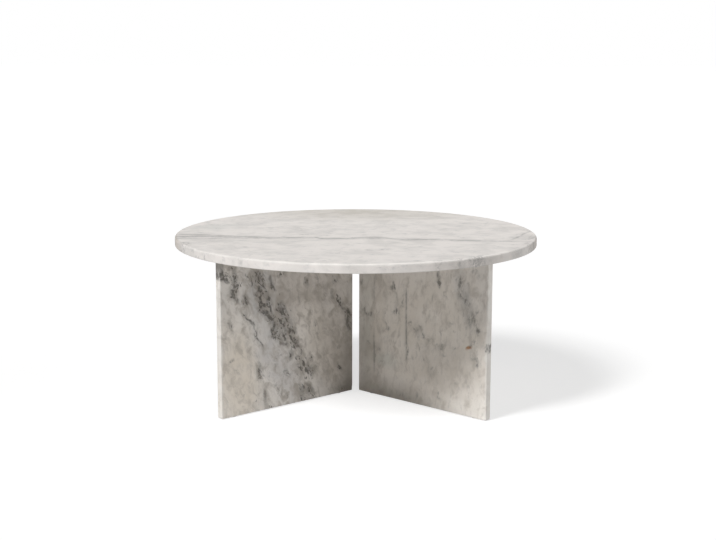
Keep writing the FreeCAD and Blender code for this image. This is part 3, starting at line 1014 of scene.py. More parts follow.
FRONT_LEFT_PATTERN = StonePattern(
    flow=66.0,
    ink=(0.08, 0.075, 0.069, 1.0),
    crowds=ovals(
        (466, 388, 30, 18, 45, 0.8), (434, 355, 60, 20, 85, 0.8), (395, 315, 28, 16, 65, 0.7),
        (352, 365, 44, 30, 60, 0.8), (334, 320, 54, 26, 65, 0.9), (338, 288, 28, 22, 60, 0.9),
        (312, 250, 46, 22, 65, 1.0), (302, 212, 30, 18, 70, 1.0), (272, 268, 34, 24, 70, 0.8),
        (255, 208, 34, 15, 10, 0.7), (280, 190, 34, 20, 40, 0.7), (228, 172, 40, 17, 55, 0.8),
        (244, 138, 24, 14, 80, 0.6), (190, 105, 60, 30, 50, 0.6), (350, 110, 34, 20, 80, 0.8),
        (330, 30, 50, 18, 80, 0.6), (195, 28, 56, 30, 30, 0.6), (62, 258, 46, 18, 55, 0.9),
        (34, 210, 56, 18, 80, 0.8), (67, 78, 18, 14, 50, 0.7), (448, 254, 30, 14, 80, 0.6),
        (85, 330, 20, 14, 60, 0.6), (186, 334, 20, 12, 80, 0.6), (305, 345, 30, 16, 60, 0.7),
        (268, 236, 70, 46, 65, 0.8), (340, 300, 60, 34, 62, 0.6), (236, 170, 60, 36, 60, 0.5),
        (200, 84, 62, 46, 60, 0.5), (385, 372, 46, 40, 60, 0.42),
    ),
    marks=ovals(
        (466, 386, 14, 8, 45, 1.0), (438, 404, 11, 6, 0, 0.75), (431, 378, 11, 8, 140, 0.88),
        (422, 357, 13, 7, 10, 0.88), (435, 328, 10, 6, 0, 0.88), (394, 314, 12, 7, 65, 0.62),
        (358, 323, 10, 6, 30, 0.62), (344, 336, 11, 7, 80, 0.75), (352, 384, 24, 7, 15, 0.62),
        (306, 339, 12, 6, 55, 0.75), (276, 369, 14, 7, 0, 0.88), (343, 293, 13, 8, 60, 1.0),
        (323, 294, 10, 6, 10, 1.0), (310, 258, 14, 9, 60, 0.75), (300, 231, 10, 6, 40, 0.75),
        (305, 212, 14, 8, 62, 1.12), (288, 192, 16, 9, 70, 0.5), (271, 264, 10, 8, 70, 1.0),
        (284, 275, 20, 10, 75, 0.5), (258, 262, 12, 7, 60, 0.5), (253, 209, 12, 5, 0, 0.62),
        (238, 210, 9, 5, 45, 0.62), (231, 177, 10, 6, 70, 0.88), (245, 132, 9, 5, 150, 0.62),
        (400, 277, 9, 6, 40, 0.75), (362, 212, 11, 6, 85, 0.88), (442, 157, 9, 6, 150, 0.62),
        (425, 122, 10, 5, 40, 0.5), (448, 254, 18, 7, 80, 0.5), (365, 158, 14, 7, 20, 0.44),
        (350, 118, 12, 6, 10, 1.0), (346, 98, 11, 6, 0, 1.0), (352, 107, 9, 5, 110, 0.62),
        (407, 58, 8, 5, 0, 0.44), (318, 10, 14, 6, 20, 0.75), (265, 98, 16, 11, 0, 0.44),
        (216, 114, 11, 6, 20, 0.62), (175, 119, 10, 6, 30, 0.75), (178, 93, 12, 5, 35, 0.5),
        (203, 9, 14, 7, 10, 0.88), (160, 14, 12, 6, 60, 0.62), (190, 340, 11, 5, 60, 0.88),
        (82, 331, 10, 7, 60, 0.75), (70, 269, 11, 8, 70, 1.12), (36, 234, 9, 7, 60, 1.0),
        (30, 180, 12, 6, 45, 0.62), (75, 138, 8, 6, 0, 0.5), (67, 77, 11, 8, 50, 1.0),
        (154, 217, 8, 6, 30, 0.5), (60, 14, 22, 10, 5, 0.5), (300, 130, 26, 9, 80, 0.35),
        (282, 148, 18, 8, 70, 0.35), (262, 140, 24, 8, 75, 0.35), (318, 95, 24, 8, 85, 0.35),
        (300, 60, 30, 8, 80, 0.35), (285, 42, 24, 8, 75, 0.4), (250, 86, 18, 8, 40, 0.45),
        (262, 30, 22, 10, 60, 0.4), (222, 80, 24, 9, 55, 0.35), (150, 190, 26, 12, 60, 0.3),
        (125, 110, 30, 12, 60, 0.3), (120, 195, 14, 7, 50, 0.4), (170, 250, 30, 14, 80, 0.25),
        (215, 300, 30, 12, 85, 0.3), (250, 330, 26, 12, 85, 0.3), (120, 300, 34, 16, 80, 0.3),
        (150, 340, 30, 10, 80, 0.3), (395, 200, 30, 10, 80, 0.25), (430, 70, 30, 12, 75, 0.25),
        (475, 393, 9, 4, 60, 0.64), (460, 379, 9, 4, 40, 0.72), (436, 384, 9, 4, 30, 0.64),
        (430, 371, 8, 4, 75, 0.64), (416, 356, 9, 3, 155, 0.64), (440, 347, 10, 4, 10, 0.56),
        (435, 338, 8, 3, 85, 0.64), (439, 328, 9, 3, 0, 0.64), (420, 316, 10, 4, 70, 0.4),
        (403, 322, 9, 3, 45, 0.48), (391, 306, 8, 4, 70, 0.56), (385, 350, 10, 4, 60, 0.4),
        (370, 345, 9, 3, 40, 0.4), (361, 326, 9, 3, 30, 0.56), (347, 338, 10, 4, 80, 0.56),
        (340, 375, 10, 4, 60, 0.48), (328, 365, 9, 3, 60, 0.48), (309, 345, 10, 4, 60, 0.56),
        (303, 332, 9, 3, 50, 0.56), (325, 312, 10, 4, 80, 0.56), (313, 304, 9, 3, 40, 0.48),
        (348, 299, 9, 4, 75, 0.72), (339, 287, 9, 4, 60, 0.64), (333, 275, 9, 3, 30, 0.56),
        (321, 294, 9, 4, 0, 0.72), (317, 284, 9, 3, 75, 0.48), (323, 262, 9, 3, 60, 0.56),
        (312, 257, 9, 4, 40, 0.64), (304, 249, 9, 3, 70, 0.56), (318, 242, 9, 3, 60, 0.48),
        (299, 232, 9, 4, 20, 0.64), (310, 222, 9, 3, 80, 0.56), (307, 198, 8, 3, 85, 0.48),
        (291, 195, 9, 3, 30, 0.48), (283, 187, 9, 3, 10, 0.48), (264, 222, 10, 3, 140, 0.4),
        (243, 213, 9, 3, 20, 0.48), (228, 168, 9, 3, 60, 0.56), (236, 190, 9, 3, 100, 0.4),
        (286, 284, 10, 4, 70, 0.4), (262, 270, 9, 3, 60, 0.48), (96, 290, 10, 3, 80, 0.4),
        (60, 256, 10, 4, 55, 0.56), (50, 244, 9, 3, 40, 0.48), (38, 222, 9, 4, 80, 0.56),
    ),
    veins=(
        Vein(points=((450, 364), (459, 377), (469, 387), (483, 398)), width=9.0, strength=0.7, fade=8.0),
        Vein(
            points=(
                (420, 306), (428, 320), (436, 331), (439, 345),
                (429, 358), (433, 374), (430, 388), (438, 408),
            ),
            width=9.0, strength=0.75, fade=10.0,
        ),
        Vein(points=((384, 296), (390, 308), (396, 318), (404, 330)), width=9.0, strength=0.55, fade=10.0),
        Vein(
            points=(
                (333, 175), (341, 185), (352, 197), (361, 208), (363, 222),
                (368, 237), (378, 250), (390, 262), (402, 278),
            ),
            width=7.0, strength=0.8, run=Run.ALONG, fade=10.0,
        ),
        Vein(
            points=(
                (286, 188), (300, 202), (306, 214), (300, 230),
                (306, 245), (318, 258), (334, 277), (346, 302),
            ),
            width=10.0, strength=0.75, fade=12.0,
        ),
        Vein(
            points=(
                (318, 284), (326, 298), (322, 311), (333, 322),
                (345, 337), (338, 352), (345, 366), (354, 390),
            ),
            width=8.0, strength=0.65, fade=10.0,
        ),
        Vein(points=((356, 312), (360, 325), (368, 345), (366, 360), (372, 385)), width=8.0, strength=0.5),
        Vein(points=((294, 318), (302, 335), (311, 350), (318, 375)), width=8.0, strength=0.55, fade=10.0),
        Vein(points=((254, 254), (271, 263), (280, 275), (276, 299)), width=9.0, strength=0.6, fade=10.0),
        Vein(
            points=((216, 196), (228, 204), (240, 207), (253, 209), (266, 218), (279, 238)),
            width=8.0, strength=0.45, run=Run.ALONG, fade=14.0,
        ),
        Vein(points=((212, 152), (223, 164), (231, 177), (240, 193)), width=8.0, strength=0.65, fade=10.0),
        Vein(points=((250, 169), (268, 174), (288, 180)), width=7.0, strength=0.5, run=Run.ALONG, fade=8.0),
        Vein(points=((240, 126), (246, 136), (242, 148), (248, 162)), width=7.0, strength=0.45, fade=10.0),
        Vein(
            points=(
                (28, 172), (33, 185), (40, 200), (34, 220),
                (40, 236), (52, 245), (61, 256), (72, 274),
            ),
            width=9.0, strength=0.6, fade=12.0,
        ),
        Vein(points=((82, 272), (92, 284), (96, 296), (90, 312)), width=7.0, strength=0.45, fade=12.0),
        Vein(points=((320, 4), (333, 25), (335, 45), (338, 70)), width=8.0, strength=0.5, fade=14.0),
        Vein(points=((340, 92), (352, 108), (350, 122), (362, 146)), width=8.0, strength=0.5, fade=12.0),
        Vein(points=((156, 8), (170, 28), (190, 48), (216, 60)), width=9.0, strength=0.45),
        Vein(points=((196, 4), (203, 20), (206, 38), (224, 60)), width=8.0, strength=0.5),
        Vein(points=((168, 84), (184, 98), (200, 108), (226, 124)), width=8.0, strength=0.4),
    ),
    stains=stains(
        (BEIGE, 430, 110, 230, 110, 80, 0.75),
        (BEIGE, 150, 180, 220, 80, 65, 0.4),
        (LILAC, 285, 120, 190, 80, 60, 0.5),
        (COOL, 330, 290, 190, 95, 62, 0.52),
        # The next two stains are painted shade, along the inner end and on the upper part under the top
        (UMBER_STAIN_AND_SHADE, 70, 130, 210, 120, 90, 0.45),
        (UMBER_STAIN_AND_SHADE, 190, 330, 210, 90, 0, 0.4),
        (UMBER_STAIN_AND_SHADE, 266, 276, 75, 48, 70, 0.35),
    ),
    glazes=stains(
        (BEIGE, 430, 90, 170, 80, 85, 0.4),
        # Painted shade along the inner end and at the foot
        (PAINTED_SHADE, 15, 40, 360, 60, 90, 0.45),
        (PAINTED_SHADE, 10, -10, 130, 80, 0, 0.65),
        PAINTED_END_LIGHT_ROW,
        # Painted shadow of the top's overhang on the outer end
        (PAINTED_OVERHANG_SHADOW, 484, 416, 50, 30, 90, 0.66),
    ),
    shift=(0.0, 0.0, 0.0),
)

FRONT_RIGHT_PATTERN = StonePattern(
    flow=82.0,
    ink=(0.13, 0.125, 0.115, 1.0),
    crowds=ovals(
        (415, 290, 110, 44, 112, 0.55), (390, 360, 60, 30, 100, 0.5), (50, 235, 50, 30, 150, 0.5),
        (165, 265, 50, 30, 70, 0.4), (245, 205, 60, 34, 125, 0.45), (315, 178, 60, 30, 10, 0.4),
        (440, 160, 40, 30, 110, 0.5), (85, 120, 50, 24, 90, 0.4), (150, 14, 140, 24, 2, 0.4),
        (290, 110, 50, 30, 100, 0.35), (314, 360, 40, 16, 90, 0.4),
    ),
    marks=ovals(
        (149, 319, 10, 8, 0, 0.5), (152, 330, 16, 5, 100, 0.35), (158, 303, 18, 6, 115, 0.3),
        (182, 277, 13, 7, 85, 0.55), (164, 257, 11, 8, 75, 0.5), (160, 251, 14, 6, 10, 0.4),
        (130, 204, 10, 7, 10, 0.45), (124, 215, 12, 5, 110, 0.3), (120, 243, 9, 6, 60, 0.25),
        (42, 242, 11, 8, 60, 0.5), (50, 231, 11, 6, 140, 0.45), (67, 234, 9, 6, 20, 0.55),
        (32, 314, 12, 9, 90, 0.45), (82, 342, 12, 6, 90, 0.45), (60, 152, 11, 9, 0, 0.35),
        (83, 122, 14, 6, 90, 0.6), (98, 140, 11, 8, 0, 0.3), (107, 103, 14, 4, 15, 0.3),
        (97, 60, 11, 7, 90, 0.35), (216, 229, 9, 7, 60, 0.4), (228, 208, 12, 7, 120, 0.4),
        (251, 219, 10, 5, 130, 0.4), (262, 200, 10, 6, 110, 0.6), (241, 184, 12, 4, 95, 0.6),
        (247, 160, 12, 5, 100, 0.3), (262, 131, 13, 5, 100, 0.4), (276, 188, 9, 5, 110, 0.35),
        (293, 113, 11, 7, 20, 0.4), (290, 90, 14, 5, 90, 0.25), (318, 173, 12, 6, 150, 0.4),
        (327, 182, 10, 8, 90, 0.4), (305, 182, 10, 4, 10, 0.3), (336, 157, 11, 5, 10, 0.35),
        (319, 212, 16, 4, 80, 0.3), (371, 181, 9, 5, 10, 0.4), (355, 248, 12, 7, 20, 0.3),
        (368, 226, 8, 5, 0, 0.3), (298, 315, 15, 6, 90, 0.3), (334, 319, 15, 6, 100, 0.4),
        (314, 368, 24, 6, 90, 0.6), (316, 350, 11, 6, 95, 0.5), (389, 373, 13, 10, 0, 0.5),
        (386, 356, 12, 9, 20, 0.55), (415, 358, 12, 7, 80, 0.35), (376, 337, 9, 6, 140, 0.4),
        (393, 325, 14, 8, 0, 0.55), (399, 311, 12, 8, 110, 0.5), (416, 310, 16, 9, 110, 0.4),
        (426, 278, 13, 8, 120, 0.55), (443, 292, 12, 6, 30, 0.4), (416, 257, 15, 9, 80, 0.5),
        (441, 256, 17, 8, 105, 0.6), (448, 238, 12, 8, 80, 0.6), (441, 207, 14, 9, 10, 0.5),
        (475, 203, 11, 5, 115, 0.75), (480, 191, 7, 5, 90, 0.65), (418, 194, 11, 5, 25, 0.45),
        (434, 165, 11, 6, 10, 0.5), (443, 149, 9, 7, 80, 0.5), (457, 150, 10, 4, 100, 0.35),
        (432, 401, 11, 5, 20, 0.5), (440, 390, 9, 8, 0, 0.35), (318, 48, 11, 7, 90, 0.4),
        (315, 33, 10, 4, 150, 0.3), (238, 22, 11, 7, 90, 0.35), (182, 20, 16, 6, 20, 0.35),
        (210, 12, 14, 6, 10, 0.3), (371, 84, 10, 6, 0, 0.25), (416, 87, 10, 6, 0, 0.25),
        (55, 70, 10, 8, 90, 0.3), (160, 62, 16, 7, 20, 0.25), (201, 146, 26, 5, 90, 0.5),
    ),
    veins=(
        Vein(
            points=((201, 105), (200, 150), (199, 210), (198, 270), (197, 334)),
            width=4.5, strength=0.62, fade=30.0, steady=True,
        ),
        Vein(points=((81, 60), (81, 105), (80, 150), (79, 205)), width=5.0, strength=0.5, steady=True),
        Vein(points=((79, 262), (80, 310), (81, 352)), width=5.0, strength=0.4, steady=True),
    ),
    stains=stains(
        (BEIGE, 250, 200, 420, 300, 0, 0.55),
        (SAGE, 122, 108, 60, 34, 0, 0.6),
        (COOL, 395, 330, 120, 40, 110, 0.3),
        (GREEN_GREY, 45, 215, 260, 42, 90, 0.35),
        # Painted shade along the inner end
        (UMBER_STAIN_AND_SHADE, 60, 90, 170, 90, 90, 0.3),
        (UMBER_STAIN_AND_SHADE, 355, 125, 150, 95, 0, 0.32),
        (UMBER_STAIN_AND_SHADE, 290, 60, 100, 60, 0, 0.24),
        (UMBER_STAIN_AND_SHADE, 70, 330, 130, 90, 0, 0.22),
        (UMBER_STAIN_AND_SHADE, 470, 230, 120, 34, 90, 0.3),
    ),
    glazes=stains(
        PAINTED_END_LIGHT_ROW,
        # Painted shade at the foot, towards the inner end
        (PAINTED_SHADE, 140, -24, 270, 105, 0, 0.75),
        (RUST, 415, 190, 17, 7, 25, 0.9),
    ),
    shift=(700.0, 150.0, 20.0),
)

BACK_LEFT_PATTERN = StonePattern(
    flow=70.0,
    ink=(0.09, 0.09, 0.09, 1.0),
    crowds=ovals(
        (120, 320, 90, 44, 60, 0.8), (190, 235, 100, 36, 55, 0.9), (255, 150, 80, 40, 62, 0.7),
        (330, 90, 70, 34, 58, 0.75), (400, 330, 56, 30, 75, 0.6), (430, 200, 46, 26, 70, 0.6),
        (70, 120, 50, 28, 64, 0.6),
    ),
    marks=ovals(
        (100, 345, 16, 8, 60, 0.8), (128, 318, 14, 8, 40, 0.8), (150, 290, 18, 7, 60, 0.7),
        (182, 252, 16, 9, 55, 0.9), (205, 224, 14, 7, 70, 0.8), (228, 190, 16, 8, 50, 0.7),
        (252, 158, 14, 8, 60, 0.8), (280, 128, 12, 7, 40, 0.6), (318, 96, 16, 8, 55, 0.8),
        (345, 70, 12, 7, 60, 0.6), (402, 336, 14, 7, 75, 0.7), (396, 300, 12, 6, 80, 0.5),
        (432, 206, 12, 7, 70, 0.7), (70, 124, 12, 7, 60, 0.7), (60, 90, 10, 6, 70, 0.5),
        (300, 330, 12, 6, 65, 0.5), (340, 250, 14, 6, 70, 0.4), (150, 60, 12, 7, 30, 0.5),
        (210, 40, 16, 7, 20, 0.6), (440, 60, 12, 6, 60, 0.5),
    ),
    veins=(
        Vein(points=((60, 40), (130, 150), (210, 260), (300, 390)), width=5.0, strength=0.55),
        Vein(points=((350, 60), (380, 160), (395, 270), (430, 370)), width=4.0, strength=0.5),
    ),
    stains=stains(
        (LILAC, 200, 220, 240, 90, 58, 0.5),
        (BEIGE, 400, 140, 200, 90, 65, 0.6),
    ),
    glazes=stains(PAINTED_END_LIGHT_ROW),
    shift=(1300.0, 400.0, 60.0),
)

BACK_RIGHT_PATTERN = StonePattern(
    flow=105.0,
    ink=(0.11, 0.108, 0.10, 1.0),
    crowds=ovals(
        (380, 350, 80, 40, 110, 0.8), (330, 250, 90, 38, 112, 0.85), (270, 160, 70, 36, 118, 0.7),
        (210, 60, 70, 34, 112, 0.7), (110, 300, 60, 30, 100, 0.6), (80, 180, 46, 28, 104, 0.6),
        (440, 110, 50, 28, 108, 0.6),
    ),
    marks=ovals(
        (392, 372, 16, 8, 110, 0.8), (372, 338, 14, 8, 130, 0.8), (350, 292, 18, 7, 112, 0.7),
        (330, 250, 16, 9, 115, 0.9), (312, 218, 14, 7, 100, 0.8), (290, 184, 16, 8, 120, 0.7),
        (268, 150, 14, 8, 112, 0.8), (242, 110, 12, 7, 130, 0.6), (216, 70, 16, 8, 115, 0.8),
        (196, 36, 12, 7, 110, 0.6), (112, 306, 14, 7, 100, 0.7), (104, 268, 12, 6, 95, 0.5),
        (82, 186, 12, 7, 105, 0.7), (438, 116, 12, 7, 110, 0.7), (446, 84, 10, 6, 105, 0.5),
        (180, 360, 12, 6, 110, 0.5), (170, 230, 14, 6, 105, 0.4), (340, 60, 12, 7, 150, 0.5),
        (400, 30, 16, 7, 160, 0.6), (60, 60, 12, 6, 115, 0.5),
    ),
    veins=(
        Vein(points=((170, 20), (250, 140), (320, 250), (410, 400)), width=5.0, strength=0.55),
        Vein(points=((130, 90), (120, 200), (105, 310), (90, 400)), width=4.0, strength=0.5),
    ),
    stains=stains(
        (LILAC, 300, 200, 230, 90, 114, 0.5),
        (BEIGE, 110, 180, 200, 90, 100, 0.6),
    ),
    glazes=stains(PAINTED_END_LIGHT_ROW),
    shift=(1900.0, 700.0, 90.0),
)

PANEL_PATTERNS = {
    Quarter.FRONT_LEFT: FRONT_LEFT_PATTERN,
    Quarter.FRONT_RIGHT: FRONT_RIGHT_PATTERN,
    Quarter.BACK_LEFT: BACK_LEFT_PATTERN,
    Quarter.BACK_RIGHT: BACK_RIGHT_PATTERN,
}

TOP_STONE = StoneFinish(
    light=(0.825, 0.785, 0.75, 1.0), shade=(0.70, 0.67, 0.64, 1.0), earth=(0.54, 0.52, 0.495, 1.0),
    haze=(0.47, 0.465, 0.455, 1.0), mark_depth=0.75, mark_start=0.0, mark_full=0.65,
    clouds=Layer(scale=0.012, low=0.40, high=0.68, detail=4.0),
    smudges=Layer(scale=0.035, low=0.55, high=0.78, depth=0.55, stretch=0.7, detail=5.0, distortion=0.4),
    streaks=Layer(scale=0.055, low=0.56, high=0.76, depth=0.6, stretch=0.6, detail=4.0),
    specks=Layer(scale=0.05, low=0.66, high=0.88, stretch=0.7, detail=4.0, distortion=0.4),
    threads=Layer(scale=0.032, low=0.08, high=0.0, depth=0.12, stretch=0.5, detail=5.0, distortion=0.5),
)
PANEL_STONE = StoneFinish()
CALM_STONE = StoneFinish(
    earth=(0.48, 0.434, 0.38, 1.0), mark_depth=0.72, mark_start=0.0, mark_full=0.54, halo_depth=0.36,
    wear=Layer(scale=0.15, low=0.36, high=0.66, least=0.2, depth=1.1, stretch=0.5, detail=4.0),
    specks=Layer(scale=0.075, low=0.66, high=0.92, stretch=0.5, detail=4.0, distortion=0.6),
    smudges=Layer(scale=0.045, low=0.44, high=0.74, depth=0.66, stretch=0.6, detail=5.0, distortion=0.4),
)
PANEL_STONES = {
    Quarter.FRONT_LEFT: PANEL_STONE,
    Quarter.FRONT_RIGHT: CALM_STONE,
    Quarter.BACK_LEFT: PANEL_STONE,
    Quarter.BACK_RIGHT: CALM_STONE,
}
BRACKET_STEEL = MetalFinish(
    colour=(0.56, 0.57, 0.58, 1.0), dull=(0.40, 0.41, 0.42, 1.0), scale=(900.0, 900.0, 60.0),
    roughness=(0.30, 0.52), bump=0.25,
)
SCREW_STEEL = MetalFinish(
    colour=(0.62, 0.61, 0.59, 1.0), dull=(0.47, 0.46, 0.45, 1.0), scale=(2500.0, 2500.0, 2500.0),
    roughness=(0.22, 0.42), bump=0.2,
)
INSERT_BRASS = MetalFinish(
    colour=(0.72, 0.53, 0.24, 1.0), dull=(0.48, 0.34, 0.15, 1.0), scale=(2200.0, 2200.0, 300.0),
    roughness=(0.28, 0.5), bump=0.35,
)
BUFFER_RUBBER = MouldedFinish(
    colour=(0.09, 0.09, 0.09, 1.0), dust=(0.17, 0.165, 0.16, 1.0), roughness=(0.62, 0.85),
    grain_scale=2600.0, bump=0.4,
)
GLIDE_PLASTIC = MouldedFinish(
    colour=(0.74, 0.735, 0.72, 1.0), dust=(0.58, 0.57, 0.55, 1.0), roughness=(0.42, 0.62),
    grain_scale=1800.0, bump=0.25,
)


class Bench:
    """Ways to cut, finish and place meshes that every sub-assembly shares."""

    SHARP_ANGLE = math.radians(32.0)

    @staticmethod
    def solid(shape: bmesh.types.BMesh, name: str) -> bpy.types.Object:
        """Puts a mesh into the scene as an object at the origin.

        Args:
            shape: Mesh, which is used up.
            name: Name of the object.

        Returns:
            The object.
        """
        mesh = bpy.data.meshes.new(name)
        shape.to_mesh(mesh)
        shape.free()
        piece = bpy.data.objects.new(name, mesh)
        bpy.context.scene.collection.objects.link(piece)
        return piece

    @classmethod
    def cut(cls, shape: bmesh.types.BMesh, cutters: bmesh.types.BMesh) -> bmesh.types.BMesh:
        """Takes closed cutters out of a closed shape.

        Args:
            shape: Shape to cut, which is used up.
            cutters: Cutters, which are used up.

        Returns:
            The cut shape.
        """
        block, tool = cls.solid(shape, "block"), cls.solid(cutters, "tool")
        drill = block.modifiers.new("drill", "BOOLEAN")
        drill.operation, drill.solver, drill.object = "DIFFERENCE", "EXACT", tool
        result = bmesh.new()
        result.from_object(block, bpy.context.evaluated_depsgraph_get())
        for thing in (block, tool):
            mesh = thing.data
            bpy.data.objects.remove(thing)
            bpy.data.meshes.remove(mesh)
        return result

    @staticmethod
    def bevel(
        shape: bmesh.types.BMesh, edges: Iterable[bmesh.types.BMEdge], offset: float, segments: int
    ) -> None:
        """Rounds some edges of a mesh.

        Args:
            shape: Mesh to change.
            edges: Edges to round.
            offset: Radius of the rounding.
            segments: Number of faces across it.
        """
        bmesh.ops.bevel(
            shape, geom=list(edges), offset=offset, offset_type="OFFSET", segments=segments,
            profile=0.5, affect="EDGES", clamp_overlap=True, material=-1,
        )

    @classmethod
    def finish(
        cls,
        shape: bmesh.types.BMesh,
        name: str,
        slot: Slot,
        material: bpy.types.Material,
        nodes: Sequence[str],
    ) -> None:
        """Makes a finished piece of a mesh and puts it on the table.

        Args:
            shape: Mesh in its place, which is used up.
            name: Name of the piece.
            slot: Slot of the record that matches the piece; not used.
            material: Material of the piece.
            nodes: CAD nodes that the piece stands for.
        """
        piece = cls.solid(shape, name)
        piece.data.shade_smooth()
        piece.data.set_sharp_from_angle(angle=cls.SHARP_ANGLE)
        even = piece.modifiers.new("even_normals", "WEIGHTED_NORMAL")
        even.keep_sharp = True
        piece.data.materials.append(material)
        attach(piece, BODY)
        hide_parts(*nodes)
        LOG.info("%s: %d faces, stands for %s", name, len(piece.data.polygons), ", ".join(nodes))


@dataclass(frozen=True)
class Fastening:
    """Where the brackets, screws and inserts sit on each panel.

    Attributes:
        underside: Height of the top's underside.
        panel_half: Half the thickness of a panel.
        inner_reach: Distance from the axis to the inner brackets' middles.
        outer_reach: Distance from the axis to the outer brackets' middles.
        hole_spacing: Distance between a bracket leg's two screws.
        hole_setback: Distance from a bracket's heel to its screws.
        gauge: Thickness of the brackets.
        insert_hole: Radius of the holes for the inserts.
        insert_depth: Depth of those holes.
        drill_facets: Number of faces round a drilled hole.
    """

    underside: float = 0.430
    panel_half: float = 0.010
    inner_reach: float = 0.136
    outer_reach: float = 0.3625
    hole_spacing: float = 0.026
    hole_setback: float = 0.024
    gauge: float = 0.004
    insert_hole: float = 0.0046
    insert_depth: float = 0.0125
    drill_facets: int = 32

    def reach(self, end: End) -> float:
        """Gives the distance from the axis to the middle of a bracket."""
        return self.inner_reach if end is End.INNER else self.outer_reach

    def heel(self, quarter: Quarter, end: End) -> Matrix:
        """Places a bracket's heel.

        Args:
            quarter: Panel that carries the bracket.
            end: End of that panel.

        Returns:
            The place in the table's frame, with X along the panel and Y out from its face.
        """
        side = quarter.bracket_side
        corner = Matrix.Translation((self.reach(end), side * self.panel_half, self.underside))
        about = Matrix.Identity(4) if side > 0 else Matrix.Rotation(math.pi, 4, "Z")
        return quarter.turn @ corner @ about

    def steps(self) -> tuple[float, float]:
        """Gives the places of a bracket leg's two screws along the bracket."""
        return -self.hole_spacing / 2, self.hole_spacing / 2

    def upright_screws(self, quarter: Quarter) -> Iterator[Matrix]:
        """Places the points where screws enter the top, with Z up into the stone.

        Args:
            quarter: Panel whose brackets are meant.

        Yields:
            A place on the top's underside.
        """
        for end in End:
            for step in self.steps():
                yield self.heel(quarter, end) @ Matrix.Translation((step, self.hole_setback, 0.0))

    def sideways_screws(self, quarter: Quarter) -> Iterator[Matrix]:
        """Places the points where screws enter a panel, with Z in through its face.

        Args:
            quarter: Panel that takes the screws.

        Yields:
            A place on the panel's face.
        """
        inwards = Matrix.Rotation(QUARTER_TURN, 4, "X")
        for end in End:
            for step in self.steps():
                yield self.heel(quarter, end) @ Matrix.Translation((step, 0.0, -self.hole_setback)) @ inwards

    def drills(self, places: Iterable[Matrix], radius: float, depth: float) -> bmesh.types.BMesh:
        """Makes cutters for blind holes.

        Args:
            places: Mouths of the holes, with Z into the stone.
            radius: Radius of the holes.
            depth: Depth of the holes.

        Returns:
            Closed cylinders that stand out of the mouths by their own depth.
        """
        cutters = bmesh.new()
        for place in places:
            bmesh.ops.create_cone(
                cutters, cap_ends=True, segments=self.drill_facets,
                radius1=radius, radius2=radius, depth=2 * depth, matrix=place,
            )
        return cutters

    def insert_drills(self, places: Iterable[Matrix]) -> bmesh.types.BMesh:
        """Makes cutters for the holes that take the inserts."""
        return self.drills(places, self.insert_hole, self.insert_depth)


@dataclass(frozen=True)
class StoneTop:
    """The round slab.

    Attributes:
        fastening: Where its insert holes are.
        radius: Radius of the slab.
        thickness: Thickness of the slab.
        upper_ease: Radius of its upper arris.
        lower_ease: Radius of its lower arris.
        facets: Number of faces round the rim.
        ease_steps: Number of faces across an eased arris.
    """

    fastening: Fastening
    radius: float = 0.508
    thickness: float = 0.025
    upper_ease: float = 0.006
    lower_ease: float = 0.002
    facets: int = 256
    ease_steps: int = 6

    def shape(self) -> bmesh.types.BMesh:
        """Builds the slab with its arrises and the insert holes in its underside.

        Returns:
            The mesh in its place.
        """
        slab = bmesh.new()
        low = self.fastening.underside
        middle = Matrix.Translation((0.0, 0.0, low + self.thickness / 2))
        bmesh.ops.create_cone(
            slab, cap_ends=True, cap_tris=False, segments=self.facets,
            radius1=self.radius, radius2=self.radius, depth=self.thickness, matrix=middle,
        )
        for height, ease in ((low + self.thickness, self.upper_ease), (low, self.lower_ease)):
            rim = [
                edge for edge in slab.edges
                if all(abs(vert.co.z - height) < WELD_DISTANCE for vert in edge.verts)
            ]
            Bench.bevel(slab, rim, ease, self.ease_steps)
        mouths = [place for quarter in Quarter for place in self.fastening.upright_screws(quarter)]
        return Bench.cut(slab, self.fastening.insert_drills(mouths))

    def build(self) -> None:
        """Builds and dresses the slab."""
        stone = TOP_STONE.make("honed_top_stone", Matrix.Identity(3), TOP_PATTERN)
        Bench.finish(self.shape(), "round_top", Slot.TOP_STONE, stone, ["tabletop"])


